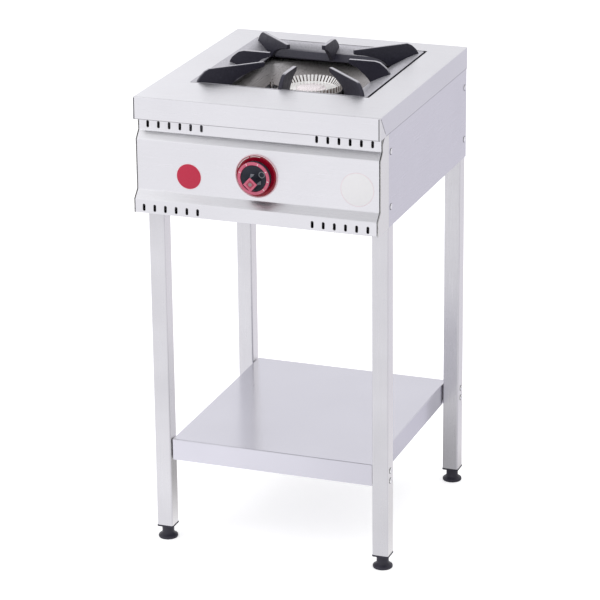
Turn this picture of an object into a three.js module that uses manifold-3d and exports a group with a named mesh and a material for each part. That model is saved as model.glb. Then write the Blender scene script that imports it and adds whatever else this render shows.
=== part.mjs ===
// A stock pot range: one large gas burner under a square cast pan support, in a low sheet-steel body
// on four square tube legs with an undershelf. Millimetres, +Z up, the front faces -Y, +X is right.
// Pieces are placed from a point on the floor under the middle of the deck.

import * as THREE from 'three';
import { mergeVertices } from 'three/addons/utils/BufferGeometryUtils.js';
import Module from 'manifold-3d';

const wasm = await Module();
wasm.setup();

// ---------------------------------------------------------------- driving dimensions

// Whole range
const WIDTH = 450;
const DEPTH = 500;
const DECK_HEIGHT = 850;
const SHEET = 1.2; // thickness of every folded panel
const GAP = 0.3; // between pieces that touch on the real range
const DECK_LIP = 40;
const PAST = 1; // how far a cutter reaches past what it cuts, and a joined piece into its neighbour

// Legs and feet
const LEG = 30;
const LEG_WALL = 1.5;
const LEG_CORNER = 3;
const LEG_SETBACK = 49.4; // from the deck's front face to the front legs' front faces
const CAP_FLANGE = 3;
const CAP_OVERHANG = 0.7; // of the end cap's flange past the leg, on each side
const CAP_PLUG = 24; // height of the end cap's plug inside the leg
const FOOT_HEIGHT = 24; // from the floor to the underside of the end cap
const FOOT_DISC = 18; // radius of the foot's disc
const FOOT_DISC_EDGE = 4;
const FOOT_DISC_DOME = 6;
const FOOT_NECK = 11;
const FOOT_STUD = 4.9;
const FOOT_STUD_LENGTH = 40;

// Undershelf
const SHELF_TOP = 198;
const SHELF_LIP = 40;
const SHELF_FRONT = 5.1; // from the front legs' front faces back to the shelf's front lip
const SHELF_BACK = 4.1; // from the rear legs' back faces forward to the shelf's back lip
const BOLT = 2.5;
const BOLT_HEAD = 4.5;
const BOLT_HEAD_HEIGHT = 2.6;
const BOLT_LENGTH = 38;
const BOLT_DROP = [9.5, 28.5]; // of each bolt below the shelf's top
const BOLT_INSET = 13; // from the leg's front or back face

// Side panels and their screws
const SIDE_HEIGHT = 207; // from the deck's top down to the side panels' bottom edges
const SIDE_FLANGE = 15;
const SCREW = 1.8;
const SCREW_HEAD = 4.2;
const SCREW_HEAD_HEIGHT = 1.3;
const SCREW_LENGTH = 10;
const SCREW_DROPS = [172, 74]; // of each screw below the deck's top
const SCREW_INSET = 11; // from the leg's front or back face

// Front control panel, down its face from the deck's top
const PANEL_SETBACK = 18; // of the upper flange behind the deck's front face
const PANEL_UPPER = 63; // deck top to the upper chamfer
const PANEL_CHAMFER_UPPER = 12; // forward step of the upper chamfer
const PANEL_CHAMFER_LOWER = 14;
const PANEL_CHAMFER_HEIGHT = 14;
const PANEL_FLAT_HEIGHT = 90;
const PANEL_LOWER = 25;
const PANEL_RETURN = 20; // flange along the panel's bottom and side edges
const PANEL_RETURN_TOP = 10;
const SLOT_WIDTH = 5;
const SLOT_HEIGHT = 13;
const SLOT_PITCH = 20;
const SLOT_MARGIN = 18.5; // of the outermost slots' middles from the panel's side edges
const SLOTS_IN_GROUP = 6;
const SLOT_UPPER_DROP = 52; // of the upper slots' middles below the deck's top
const SLOT_LOWER_RISE = 10.5; // of the lower slots' middles above the panel's bottom

// Rear panel and heat shield
const REAR_FLANGE = 20;
const SHIELD_RISE = 3; // of the heat shield above the side panels' bottom edges
const SHIELD_LIP = 15;

// Well and pan support
const OPENING_MARGIN = 60; // from the deck's side edges to the opening
const OPENING_BACK = 53; // from the deck's back edge to the opening
const WELL_FLANGE = 12;
const WELL_WALL_GAP = 1; // of the well's inner wall outside the opening's edge
const WELL_DEPTH = 27.5; // deck top to the ledge that carries the pan support
const DISH_MARGIN = 24; // of the round dish inside the well's walls
const DISH_HOLE = 62;
const DISH_DROP = 20;
const GRATE_GAP = 2.5; // around the pan support, inside the deck's opening
const GRATE_SHIFT = [-2, -2]; // the casting lies loose in the opening, towards its front left corner
const GRATE_DROP = 1.5; // of the frame's top edge below the deck's top
const GRATE_WALL = 6;
const GRATE_SLOPE = 47.5; // width of the frame's sloping flange
const GRATE_EDGE = 1; // rounding of the frame's edges
const GRATE_SLOPE_DROP = 20;
const GRATE_FLANGE = 5;
const FINGER_RISE = 20; // of the fingers' tops above the deck's top
const FINGER_THICKNESS = 7;

// The fingers' side views: the tip's distance from the casting's middle, the shoulder's foot inside the
// frame's edge, the shoulder as [inwards from its foot, down from the top] and the arched underside as
// [distance, height above the deck].
const FINGER_SIDE = {
  tip: 75,
  inset: 11.5,
  shoulder: [[27, 0], [18, 2.3], [11, 7.5], [5, 12.5], [1, 18.5], [0, 21]],
  arch: [[115.5, -19], [111, -12.5], [103, -4.5], [90, 6.6]],
  tipUnder: 12.5,
};
const FINGER_CORNER = {
  tip: 88,
  inset: 9,
  shoulder: [[22.5, 0], [14, 4], [5, 12.5], [0, 21]],
  arch: [[157, -19], [150, -11.7], [142, -5.3], [130, 0.3], [113, 5.8]],
  tipUnder: 11.5,
};
const FINGER_BEVEL = 1;

// Burner
const CROWN_TOP = 30; // below the deck's top
const CROWN_RADIUS = 56;
const CROWN_RIM = 2;
const CROWN_TOOTH_RUN = 8;
const CROWN_TOOTH_DROP = 10.5;
const CROWN_FLOOR = 3;
const CROWN_SKIRT = 6;
const CROWN_SLOTS = 48;
const CROWN_SLOT_WIDTH = 2.9;
const CAP_RADIUS = 27;
const CAP_THICKNESS = 3;
const CAP_FLAT = 21.6; // radius inside which the cap rises to its dome
const CAP_DOME = 0.9;
const CAP_SPIGOT = 15;
const POT_DEPTH = 42;
const POT_WALL = 4;
const POT_TOP_RADIUS = 54;
const POT_BOTTOM_RADIUS = 36;
const POT_STRAIGHT = 10; // height of the pot's upright rim
const MIXER_DROP = 28; // of the mixer tube's axis below the pot's top
const MIXER_RADIUS = 15;
const MIXER_THROAT = 12;
const MIXER_WALL = 2.5;
const MIXER_MOUTH = 21;
const MIXER_MOUTH_LENGTH = 20; // of the mouth's straight part
const MIXER_THROAT_SHARE = 0.4; // of the tube's length, from the pot to the throat
const MIXER_REACH = 80.5; // from the gas cock's middle back to the tube's mouth
const MIXER_SEAT = 10; // of the tube inside the pot's boss
const MIXER_PLATE = 2.5;
const MIXER_BOSS = 19; // radius of the pot's inlet boss
const MIXER_BOSS_LENGTH = 16;
const AIR_HOLE = 5;
const AIR_HOLE_CIRCLE = 13;
const AIR_HOLES = 4;
const SHUTTER_LENGTH = 16;
const SHUTTER_WALL = 1.2;
const INJECTOR = 7;
const INJECTOR_NOZZLE = 4;
const INJECTOR_LENGTH = 18;
const INJECTOR_INSIDE = 2; // of the nozzle behind the tube's plate
const BRACKET_WIDTH = 34;
const BRACKET_HEIGHT = 16;
const BRACKET_SHEET = 2;

// Gas cock, knob and bezel
const COCK_RISE = 44; // of the cock's axis above the panel's lower chamfer
const COCK_LENGTH = 44;
const COCK_RADIUS = 14;
const COCK_BORE = 8;
const OUTLET_WALL = 3;
const OUTLET_RISE = 7; // of the outlet above the cock's body
const INLET_WALL = 2;
const INLET_REACH = 10; // of the inlet and the pilot outlet beside the cock's body
const PLUG_LENGTH = 26;
const PLUG_FRONT = 8; // of the plug's front behind the cock's front face
const SPINDLE = 4;
const SPINDLE_HOLE = 6;
const SPINDLE_END = 4; // of the plug behind the spindle when the knob is pushed in
const KNOB_TRAVEL = 3;
const KNOB_RADIUS = 29;
const KNOB_RING = 5.5;
const KNOB_RING_HEIGHT = 5;
const KNOB_LIFT = 5.5; // of the knob's back above the panel
const KNOB_BODY = 11.5;
const KNOB_EDGE = 1.5; // rounding of the knob's back edge
const KNOB_SINK = 0.5; // of the knob's side inside its ring
const KNOB_DISH = 2; // depth of the hollow in the knob's face
const KNOB_GRIP_ROOT = 3; // of the grip inside the knob's face
const KNOB_GRIP = 11;
const KNOB_GRIP_WIDTH = 18;
const KNOB_GRIP_FOOT = 21; // width of the grip where it leaves the knob's face
const KNOB_GRIP_PLACE = [-1, -7.3]; // of the grip's middle from the knob's axis, right and up
const KNOB_POINTER = 2;
const KNOB_BORE = 8;
const KNOB_ANGLE = 228; // of the pointer, anticlockwise from the right, seen from the front
const BEZEL_RADIUS = 38.5;
const BEZEL_HEIGHT = 2.8;
const BEZEL_LIP = 1.2;
const BEZEL_FLOOR = 1.2;

// Gas pipes
const RAIL = 8;
const RAIL_WALL = 1.5;
const RAIL_INSET = 27; // of the inlet's axis from the rear leg
const RAIL_BEND = 26;
const FEED = 4;
const FEED_BEND = 14;
const UNION = 13;
const UNION_THREAD = 10;
const UNION_LENGTH = 14;
const PILOT_X = -79;
const PILOT_Y = 10; // behind the burner's middle
const PILOT = 3.4;
const PILOT_RISE = 8; // of the pilot burner's top below the crown's top
const PROBE_X = -72;
const PROBE_Y = -6;
const PROBE = 2.4;
const PROBE_TIP = 1.8;
const PROBE_TIP_LENGTH = 8;
const PROBE_RISE = 2; // of the thermocouple's tip above the crown's top
const PILOT_ARM = 3;
const PILOT_ARM_MARGIN = 1; // around the pilot burner, and twice that before the thermocouple
const PILOT_STEM = 12; // of the stems below the arm
const PILOT_TUBE_DROP = 10; // of the tubes below the stems
const LEAD_TURN = 15; // of the thermocouple's lead before the pot's boss
const PILOT_ARM_RISE = 9; // of the arm's top below the pot's top
const PILOT_SLOT_MARGIN = 4;
const PILOT_TUBE = 2;
const LEAD = 1.3;
const SMALL_BEND = 4.5;

// ---------------------------------------------------------------- places worked out from them

const deckUnder = DECK_HEIGHT - SHEET;
const deckFront = -DEPTH / 2;
const deckBack = DEPTH / 2;
const sideOuter = WIDTH / 2 - SHEET - GAP;
const sideInner = sideOuter - SHEET;
const legOuter = sideInner - GAP;
const legInner = legOuter - LEG;
const legMiddle = legOuter - LEG / 2;
const legTop = deckUnder - GAP;
const legBottom = FOOT_HEIGHT + CAP_FLANGE;
const frontLegFront = deckFront + LEG_SETBACK;
const rearLegBack = deckBack - SHEET - GAP;
const between = legInner - GAP; // half the width of what fits between the legs

const panelTopY = deckFront + PANEL_SETBACK;
const panelFlatY = panelTopY - PANEL_CHAMFER_UPPER;
const panelLowY = panelFlatY - PANEL_CHAMFER_LOWER;
const panelUpperZ = DECK_HEIGHT - PANEL_UPPER;
const flatTopZ = panelUpperZ - PANEL_CHAMFER_HEIGHT;
const flatBottomZ = flatTopZ - PANEL_FLAT_HEIGHT;
const panelLowerZ = flatBottomZ - PANEL_CHAMFER_HEIGHT;
const panelBottomZ = panelLowerZ - PANEL_LOWER;
const panelInnerY = panelFlatY + SHEET;
const panelBackY = frontLegFront - GAP;
const sideBottom = DECK_HEIGHT - SIDE_HEIGHT;
const shieldBottom = sideBottom + SHIELD_RISE;
const screwHeights = SCREW_DROPS.map((drop) => DECK_HEIGHT - drop);

const opening = WIDTH / 2 - OPENING_MARGIN; // half the width of the deck's opening
const burnerY = deckBack - OPENING_BACK - opening; // middle of the opening and of the burner
const wellInner = opening + WELL_WALL_GAP;
const dishRadius = wellInner - DISH_MARGIN;
const grate = opening - GRATE_GAP; // half the width of the pan support's frame
const grateInner = grate - GRATE_SLOPE;

const wellLedge = DECK_HEIGHT - WELL_DEPTH;
const wellTop = deckUnder - GAP;
const crownTop = DECK_HEIGHT - CROWN_TOP;
const crownFloorTop = crownTop - CROWN_TOOTH_DROP;
const crownBottom = crownFloorTop - CROWN_FLOOR;
const potTop = crownBottom - GAP;
const potBottom = potTop - POT_DEPTH;
const mixerZ = potTop - MIXER_DROP;
const cockHeight = flatBottomZ + COCK_RISE;
const cockFront = panelInnerY + GAP;
const cockBack = cockFront + COCK_LENGTH;
const cockMiddle = cockFront + COCK_LENGTH / 2;
const railX = legInner - RAIL_INSET;
const bossFront = burnerY - POT_BOTTOM_RADIUS - MIXER_BOSS_LENGTH;
const mixerBack = bossFront + MIXER_SEAT;
const mixerFront = cockMiddle + MIXER_REACH;
const mixerLength = mixerBack - mixerFront;

// Sides of the round shapes
const FINE = 36;
const ROUND = 20;
const SMALL = 8;

// ---------------------------------------------------------------- solids

// A closed geometry as a solid that can be joined and cut. Triangles that shrink to a line at a lathe's
// pole are dropped, and a geometry whose faces point inwards is turned over.
function solid(geometry) {
  const bare = geometry.clone();
  bare.deleteAttribute('normal');
  bare.deleteAttribute('uv');
  const merged = mergeVertices(bare, 1e-4);
  const places = merged.attributes.position;
  const triangles = [];
  let volume = 0;
  const corner = [new THREE.Vector3(), new THREE.Vector3(), new THREE.Vector3()];
  for (let first = 0; first < merged.index.count; first += 3) {
    const trio = [0, 1, 2].map((step) => merged.index.getX(first + step));
    if (new Set(trio).size < 3) continue;
    triangles.push(trio);
    trio.forEach((vertex, step) => corner[step].fromBufferAttribute(places, vertex));
    volume += corner[0].dot(corner[1].cross(corner[2]));
  }
  const outward = volume > 0 ? triangles : triangles.map(([a, b, c]) => [a, c, b]);
  return new wasm.Manifold(new wasm.Mesh({
    numProp: 3,
    vertProperties: new Float32Array(places.array),
    triVerts: new Uint32Array(outward.flat()),
  }));
}

function join(...solids) {
  return solids.reduce((sum, next) => sum.add(next));
}

function cut(body, ...tools) {
  return tools.reduce((rest, tool) => rest.subtract(tool), body);
}

function geometryOf(body) {
  const mesh = body.getMesh();
  const geometry = new THREE.BufferGeometry();
  geometry.setAttribute('position', new THREE.BufferAttribute(new Float32Array(mesh.vertProperties), 3));
  geometry.setIndex(new THREE.BufferAttribute(new Uint32Array(mesh.triVerts), 1));
  geometry.computeVertexNormals();
  return geometry;
}

// A block between two corners.
function block(x0, x1, y0, y1, z0, z1) {
  const geometry = new THREE.BoxGeometry(x1 - x0, y1 - y0, z1 - z0);
  geometry.translate((x0 + x1) / 2, (y0 + y1) / 2, (z0 + z1) / 2);
  return solid(geometry);
}

// A round bar between two points.
function bar(radius, from, to, sides = ROUND) {
  const start = new THREE.Vector3(...from);
  const end = new THREE.Vector3(...to);
  const run = end.clone().sub(start);
  const geometry = new THREE.CylinderGeometry(radius, radius, run.length(), sides);
  const turn = new THREE.Quaternion().setFromUnitVectors(new THREE.Vector3(0, 1, 0), run.normalize());
  geometry.applyQuaternion(turn);
  geometry.translate(...start.add(end).multiplyScalar(0.5).toArray());
  return solid(geometry);
}

// A turned shape from a profile of [radius, height] points, its axis up at x, y.
function turned(profile, x, y, sides = FINE) {
  const points = profile.map(([radius, height]) => new THREE.Vector2(radius, height));
  const geometry = new THREE.LatheGeometry(points, sides);
  geometry.rotateX(Math.PI / 2);
  geometry.translate(x, y, 0);
  return solid(geometry);
}

// The same with its axis along Y through x, z: heights are measured towards -Y from the place y.
function turnedForward(profile, x, y, z, sides = FINE) {
  const points = profile.map(([radius, height]) => new THREE.Vector2(radius, height));
  const geometry = new THREE.LatheGeometry(points, sides);
  geometry.rotateX(Math.PI);
  geometry.translate(x, y, z);
  return solid(geometry);
}

// A flat outline of [a, b] points as a plate: drawn on X and Y and raised from z0 to z1.
function plate(outline, z0, z1, bevel = 0) {
  const shape = new THREE.Shape(outline.map(([x, y]) => new THREE.Vector2(x, y)));
  const geometry = new THREE.ExtrudeGeometry(shape, {
    depth: z1 - z0 - 2 * bevel,
    bevelEnabled: bevel > 0,
    bevelThickness: bevel,
    bevelSize: bevel,
    bevelOffset: -bevel,
    bevelSegments: 1,
  });
  geometry.translate(0, 0, z0 + bevel);
  return geometry;
}

// An outline of [y, z] points as a plate that runs from x0 to x1.
function sidePlate(outline, x0, x1) {
  const geometry = plate(outline, x0, x1);
  const across = new THREE.Vector3(0, 1, 0);
  const up = new THREE.Vector3(0, 0, 1);
  geometry.applyMatrix4(new THREE.Matrix4().makeBasis(across, up, new THREE.Vector3(1, 0, 0)));
  return solid(geometry);
}

// A bent pipe through points, each corner rounded with the bend's radius, solid or with a bore.
function pipe(points, radius, bend, sides = SMALL, wall = 0) {
  const corners = points.map((point) => new THREE.Vector3(...point));
  const path = new THREE.CurvePath();
  let start = corners[0];
  for (let index = 1; index < corners.length - 1; index += 1) {
    const corner = corners[index];
    const before = corner.clone().add(corners[index - 1].clone().sub(corner).setLength(bend));
    const after = corner.clone().add(corners[index + 1].clone().sub(corner).setLength(bend));
    path.add(new THREE.LineCurve3(start, before));
    path.add(new THREE.QuadraticBezierCurve3(before, corner, after));
    start = after;
  }
  path.add(new THREE.LineCurve3(start, corners.at(-1)));
  const stations = [];
  path.curves.forEach((curve, index) => {
    const steps = index % 2 ? 5 : 1;
    for (let step = index ? 1 : 0; step <= steps; step += 1) stations.push(curve.getPoint(step / steps));
  });
  const swept = (size) => sweep(stations, size, sides);
  return wall ? cut(swept(radius), swept(radius - wall)) : swept(radius);
}

// A round section carried along a list of points, mitred at each and closed at both ends.
function sweep(stations, radius, sides) {
  const frames = stations.map((place, index) => {
    const ahead = stations[Math.min(index + 1, stations.length - 1)];
    const behind = stations[Math.max(index - 1, 0)];
    return { place, along: ahead.clone().sub(behind).normalize() };
  });
  let across = new THREE.Vector3(0, 0, 1);
  if (Math.abs(frames[0].along.z) > 0.9) across.set(1, 0, 0);
  const positions = [];
  frames.forEach(({ place, along }) => {
    across = across.clone().addScaledVector(along, -across.dot(along)).normalize();
    const third = along.clone().cross(across);
    for (let side = 0; side < sides; side += 1) {
      const angle = (2 * Math.PI * side) / sides;
      const point = place.clone().addScaledVector(across, radius * Math.cos(angle));
      point.addScaledVector(third, radius * Math.sin(angle));
      positions.push(...point.toArray());
    }
  });
  const faces = [];
  for (let ring = 0; ring < frames.length - 1; ring += 1) {
    for (let side = 0; side < sides; side += 1) {
      const a = ring * sides + side;
      const b = ring * sides + ((side + 1) % sides);
      faces.push(a, b, b + sides, a, b + sides, a + sides);
    }
  }
  const last = (frames.length - 1) * sides;
  for (let side = 1; side < sides - 1; side += 1) {
    faces.push(0, side + 1, side);
    faces.push(last, last + side, last + side + 1);
  }
  const geometry = new THREE.BufferGeometry();
  geometry.setAttribute('position', new THREE.Float32BufferAttribute(positions, 3));
  geometry.setIndex(faces);
  return solid(geometry);
}

// ---------------------------------------------------------------- materials

function finish(color, roughness, metalness) {
  return new THREE.MeshStandardMaterial({ color, roughness, metalness });
}

const steel = finish(0xdcdce2, 0.35, 1);
const brightSteel = finish(0xe6e6ea, 0.25, 1);
const galvanised = finish(0xb4b6ba, 0.5, 0.9);
const castIron = finish(0x33323a, 0.55, 0.2);
const blackPlastic = finish(0x26242b, 0.5, 0);
const redPlastic = finish(0xaa0a24, 0.3, 0);
const brass = finish(0xc9a24a, 0.35, 1);
const copper = finish(0xb8744a, 0.35, 1);

const range = new THREE.Group();
range.name = 'stock_pot_range';

function piece(name, body, material) {
  const mesh = new THREE.Mesh(geometryOf(body), material);
  mesh.name = name;
  range.add(mesh);
}

// ---------------------------------------------------------------- legs, end caps and feet

// The four corners: which side, which end, and where the leg's tube starts in Y.
const corners = [];
for (const [end, legY] of [['front', frontLegFront], ['rear', rearLegBack - LEG]]) {
  for (const [side, sign] of [['left', -1], ['right', 1]]) {
    const faceY = end === 'front' ? legY : legY + LEG;
    const inward = end === 'front' ? 1 : -1;
    corners.push({ name: `${end}_${side}`, sign, x: sign * legMiddle, y: legY + LEG / 2, faceY, inward });
  }
}

function roundedSquare(size, radius) {
  const half = size / 2;
  const points = [];
  for (let quarter = 0; quarter < 4; quarter += 1) {
    const middle = Math.PI / 4 + (quarter * Math.PI) / 2;
    const x = Math.sign(Math.cos(middle)) * (half - radius);
    const y = Math.sign(Math.sin(middle)) * (half - radius);
    for (let step = -1; step <= 1; step += 1) {
      const angle = middle + (step * Math.PI) / 4;
      points.push([x + radius * Math.cos(angle), y + radius * Math.sin(angle)]);
    }
  }
  return points;
}

function post(size, radius, corner, z0, z1) {
  const geometry = plate(roundedSquare(size, radius), z0, z1);
  geometry.translate(corner.x, corner.y, 0);
  return solid(geometry);
}

// A hole through both walls of a leg, or through its outer wall alone.
function legHole(corner, radius, y, z, through) {
  const outer = corner.sign * (legOuter + SHEET + LEG_WALL);
  const inner = corner.sign * (through ? legInner - LEG_WALL : legMiddle);
  return bar(radius + GAP, [outer, y, z], [inner, y, z], SMALL);
}

const screwY = (corner) => corner.faceY + corner.inward * SCREW_INSET;
const boltY = (corner) => corner.faceY + corner.inward * BOLT_INSET;

for (const corner of corners) {
  const tube = post(LEG, LEG_CORNER, corner, legBottom + GAP, legTop);
  const bore = post(LEG - 2 * LEG_WALL, LEG_CORNER - LEG_WALL, corner, legBottom, legTop + PAST);
  const screwHoles = screwHeights.map((z) => legHole(corner, SCREW, screwY(corner), z, false));
  const boltHoles = BOLT_DROP.map((drop) => legHole(corner, BOLT, boltY(corner), SHELF_TOP - drop, true));
  piece(`leg_${corner.name}`, cut(tube, bore, ...screwHoles, ...boltHoles), steel);

  // The end cap: a square flange under the leg and a plug inside it, bored for the foot's stud.
  const flange = post(LEG + 2 * CAP_OVERHANG, LEG_CORNER, corner, FOOT_HEIGHT, legBottom);
  const plugSize = LEG - 2 * LEG_WALL - 2 * GAP;
  const plug = post(plugSize, LEG_CORNER - LEG_WALL, corner, legBottom - PAST, legBottom + CAP_PLUG);
  const studHole = bar(
    FOOT_STUD + GAP,
    [corner.x, corner.y, FOOT_HEIGHT - PAST],
    [corner.x, corner.y, legBottom + CAP_PLUG + PAST],
    ROUND / 2,
  );
  piece(`end_cap_${corner.name}`, cut(join(flange, plug), studHole), blackPlastic);

  // The foot: a domed disc, a neck under the end cap, and the stud that winds into it.
  const discTop = FOOT_DISC_EDGE + FOOT_DISC_DOME;
  const neckTop = FOOT_HEIGHT - GAP;
  const foot = turned([
    [0, 0],
    [FOOT_DISC - 1, 0],
    [FOOT_DISC, 1],
    [FOOT_DISC, FOOT_DISC_EDGE],
    [(FOOT_DISC + FOOT_NECK) / 2, discTop - FOOT_DISC_DOME / 3],
    [FOOT_NECK, discTop],
    [FOOT_NECK, neckTop],
    [FOOT_STUD, neckTop],
    [FOOT_STUD, neckTop + FOOT_STUD_LENGTH],
    [0, neckTop + FOOT_STUD_LENGTH],
  ], corner.x, corner.y, ROUND);
  piece(`foot_${corner.name}`, foot, blackPlastic);
}

// ---------------------------------------------------------------- undershelf and its bolts

const shelfFront = frontLegFront + SHELF_FRONT;
const shelfBack = rearLegBack - SHELF_BACK;

function boltHole(corner, drop) {
  const z = SHELF_TOP - drop;
  const x = corner.sign * between;
  const depth = corner.sign * (SHEET + PAST);
  return bar(BOLT + GAP, [x + corner.sign, boltY(corner), z], [x - depth, boltY(corner), z], SMALL);
}

const shelfOuter = block(-between, between, shelfFront, shelfBack, SHELF_TOP - SHELF_LIP, SHELF_TOP);
const shelfInner = block(
  -between + SHEET,
  between - SHEET,
  shelfFront + SHEET,
  shelfBack - SHEET,
  SHELF_TOP - SHELF_LIP - PAST,
  SHELF_TOP - SHEET,
);
const shelfHoles = corners.flatMap((corner) => BOLT_DROP.map((drop) => boltHole(corner, drop)));
piece('undershelf', cut(shelfOuter, shelfInner, ...shelfHoles), steel);

for (const corner of corners) {
  BOLT_DROP.forEach((drop, index) => {
    const z = SHELF_TOP - drop;
    const y = boltY(corner);
    const seat = corner.sign * (legOuter + GAP / 3);
    const top = seat + corner.sign * BOLT_HEAD_HEIGHT;
    const head = bar(BOLT_HEAD, [seat, y, z], [top, y, z], SMALL);
    const shank = bar(BOLT, [seat + corner.sign, y, z], [seat - corner.sign * BOLT_LENGTH, y, z], SMALL);
    piece(`shelf_bolt_${corner.name}_${index + 1}`, join(head, shank), brightSteel);
  });
}

// ---------------------------------------------------------------- deck

const deckShell = cut(
  block(-WIDTH / 2, WIDTH / 2, deckFront, deckBack, DECK_HEIGHT - DECK_LIP, DECK_HEIGHT),
  block(
    -WIDTH / 2 + SHEET,
    WIDTH / 2 - SHEET,
    deckFront + SHEET,
    deckBack - SHEET,
    DECK_HEIGHT - DECK_LIP - PAST,
    deckUnder,
  ),
  block(-opening, opening, burnerY - opening, burnerY + opening, deckUnder - PAST, DECK_HEIGHT + PAST),
);
piece('deck', deckShell, steel);

// ---------------------------------------------------------------- front control panel

// The face from the deck down, as [y, z] points, and the same face one sheet further in.
const face = [
  [panelTopY, wellTop],
  [panelTopY, panelUpperZ],
  [panelFlatY, flatTopZ],
  [panelFlatY, flatBottomZ],
  [panelLowY, panelLowerZ],
  [panelLowY, panelBottomZ],
];

function inset(path, distance) {
  return path.map(([y, z], index) => {
    const sides = [index - 1, index]
      .filter((start) => start >= 0 && start < path.length - 1)
      .map((start) => {
        const run = [path[start + 1][0] - path[start][0], path[start + 1][1] - path[start][1]];
        const length = Math.hypot(...run);
        return [-run[1] / length, run[0] / length];
      });
    const sum = sides.reduce((total, side) => [total[0] + side[0], total[1] + side[1]], [0, 0]);
    const scale = (distance * sides.length) / (sum[0] ** 2 + sum[1] ** 2);
    return [y + sum[0] * scale, z + sum[1] * scale];
  });
}

// The panel is a box one sheet thick whose back, top and bottom are open but for a return flange.
function frontPanel() {
  const outer = [...face, [panelBackY, panelBottomZ], [panelBackY, wellTop]];
  const within = inset(face, SHEET);
  within[0][1] -= SHEET;
  within.at(-1)[1] += SHEET;
  const backY = panelBackY - SHEET;
  const inner = [...within, [backY, panelBottomZ + SHEET], [backY, wellTop - SHEET]];
  const half = sideOuter - PANEL_RETURN;
  const low = [panelBottomZ - PAST, panelBottomZ + SHEET + PAST];
  const high = [wellTop - SHEET - PAST, wellTop + PAST];
  const lowWindow = block(-half, half, panelLowY + PANEL_RETURN, backY, ...low);
  const highWindow = block(-half, half, panelTopY + PANEL_RETURN_TOP, backY, ...high);
  const backWindow = block(-half, half, backY - PAST, panelBackY + PAST, low[0], high[1]);
  const spindleHole = bar(
    SPINDLE_HOLE,
    [0, panelFlatY - PAST, cockHeight],
    [0, panelInnerY + PAST, cockHeight],
  );
  return cut(
    sidePlate(outer, -sideOuter, sideOuter),
    sidePlate(inner, -sideInner, sideInner),
    lowWindow,
    highWindow,
    backWindow,
    spindleHole,
    ...ventSlots(),
  );
}

// Upright slots with round ends, in rows of six at the upper and lower edges, left and right.
function ventSlots() {
  const straight = SLOT_HEIGHT - SLOT_WIDTH;
  const outline = [];
  for (let step = 0; step <= 4; step += 1) {
    const angle = (step * Math.PI) / 4;
    outline.push([(SLOT_WIDTH / 2) * Math.cos(angle), straight / 2 + (SLOT_WIDTH / 2) * Math.sin(angle)]);
  }
  const points = [...outline, ...outline.map(([x, z]) => [-x, -z])];
  const rows = [
    [DECK_HEIGHT - SLOT_UPPER_DROP, panelTopY],
    [panelBottomZ + SLOT_LOWER_RISE, panelLowY],
  ];
  const tools = [];
  for (const [z, y] of rows) {
    for (const sign of [-1, 1]) {
      for (let index = 0; index < SLOTS_IN_GROUP; index += 1) {
        const geometry = plate(points, -SHEET - PAST, SHEET + PAST);
        geometry.rotateX(Math.PI / 2);
        geometry.translate(sign * (sideOuter - SLOT_MARGIN - index * SLOT_PITCH), y + SHEET / 2, z);
        tools.push(solid(geometry));
      }
    }
  }
  return tools;
}

piece('front_panel', frontPanel(), steel);

// ---------------------------------------------------------------- side panels and their screws

const sideFront = frontLegFront;
const sideBack = rearLegBack;

for (const [side, sign] of [['left', -1], ['right', 1]]) {
  const x = [sign * sideInner, sign * sideOuter].sort((a, b) => a - b);
  const wall = block(x[0], x[1], sideFront, sideBack, sideBottom, legTop);
  const flangeX = [sign * (sideOuter - SIDE_FLANGE), sign * sideOuter].sort((a, b) => a - b);
  const flange = block(
    flangeX[0],
    flangeX[1],
    frontLegFront + LEG + GAP,
    rearLegBack - LEG - GAP,
    sideBottom,
    sideBottom + SHEET,
  );
  const holes = corners
    .filter((corner) => corner.sign === sign)
    .flatMap((corner) => screwHeights.map((z) => bar(
      SCREW + GAP,
      [sign * (sideInner - PAST), screwY(corner), z],
      [sign * (sideOuter + PAST), screwY(corner), z],
      SMALL,
    )));
  piece(`side_panel_${side}`, cut(join(wall, flange), ...holes), steel);
}

for (const corner of corners) {
  screwHeights.forEach((z, index) => {
    const y = screwY(corner);
    const seat = corner.sign * (sideOuter + GAP / 3);
    const head = bar(SCREW_HEAD, [seat, y, z], [seat + corner.sign * SCREW_HEAD_HEIGHT, y, z], SMALL);
    const tip = seat - corner.sign * SCREW_LENGTH;
    const shank = bar(SCREW, [seat + corner.sign / 2, y, z], [tip, y, z], SMALL);
    piece(`panel_screw_${corner.name}_${index + 1}`, join(head, shank), brightSteel);
  });
}

// ---------------------------------------------------------------- rear panel and heat shield

const rearPanelBack = rearLegBack;
const rearWall = block(-between, between, rearPanelBack - SHEET, rearPanelBack, sideBottom, legTop);
const rearFlanges = [-1, 1].map((sign) => {
  const x = [sign * between, sign * (between - SHEET)].sort((a, b) => a - b);
  return block(x[0], x[1], rearPanelBack - REAR_FLANGE, rearPanelBack, sideBottom, legTop);
});
const unionHole = bar(
  UNION_THREAD + GAP,
  [railX, rearPanelBack - SHEET - PAST, cockHeight],
  [railX, rearPanelBack + PAST, cockHeight],
);
piece('rear_panel', cut(join(rearWall, ...rearFlanges), unionHole), galvanised);

const shieldFront = frontLegFront + SHELF_FRONT;
const shieldBack = rearPanelBack - REAR_FLANGE - GAP;
const shield = cut(
  block(-between, between, shieldFront, shieldBack, shieldBottom, shieldBottom + SHIELD_LIP),
  block(
    -between + SHEET,
    between - SHEET,
    shieldFront + SHEET,
    shieldBack - SHEET,
    shieldBottom + SHEET,
    shieldBottom + SHIELD_LIP + PAST,
  ),
);
piece('heat_shield', shield, galvanised);

// ---------------------------------------------------------------- well

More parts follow.
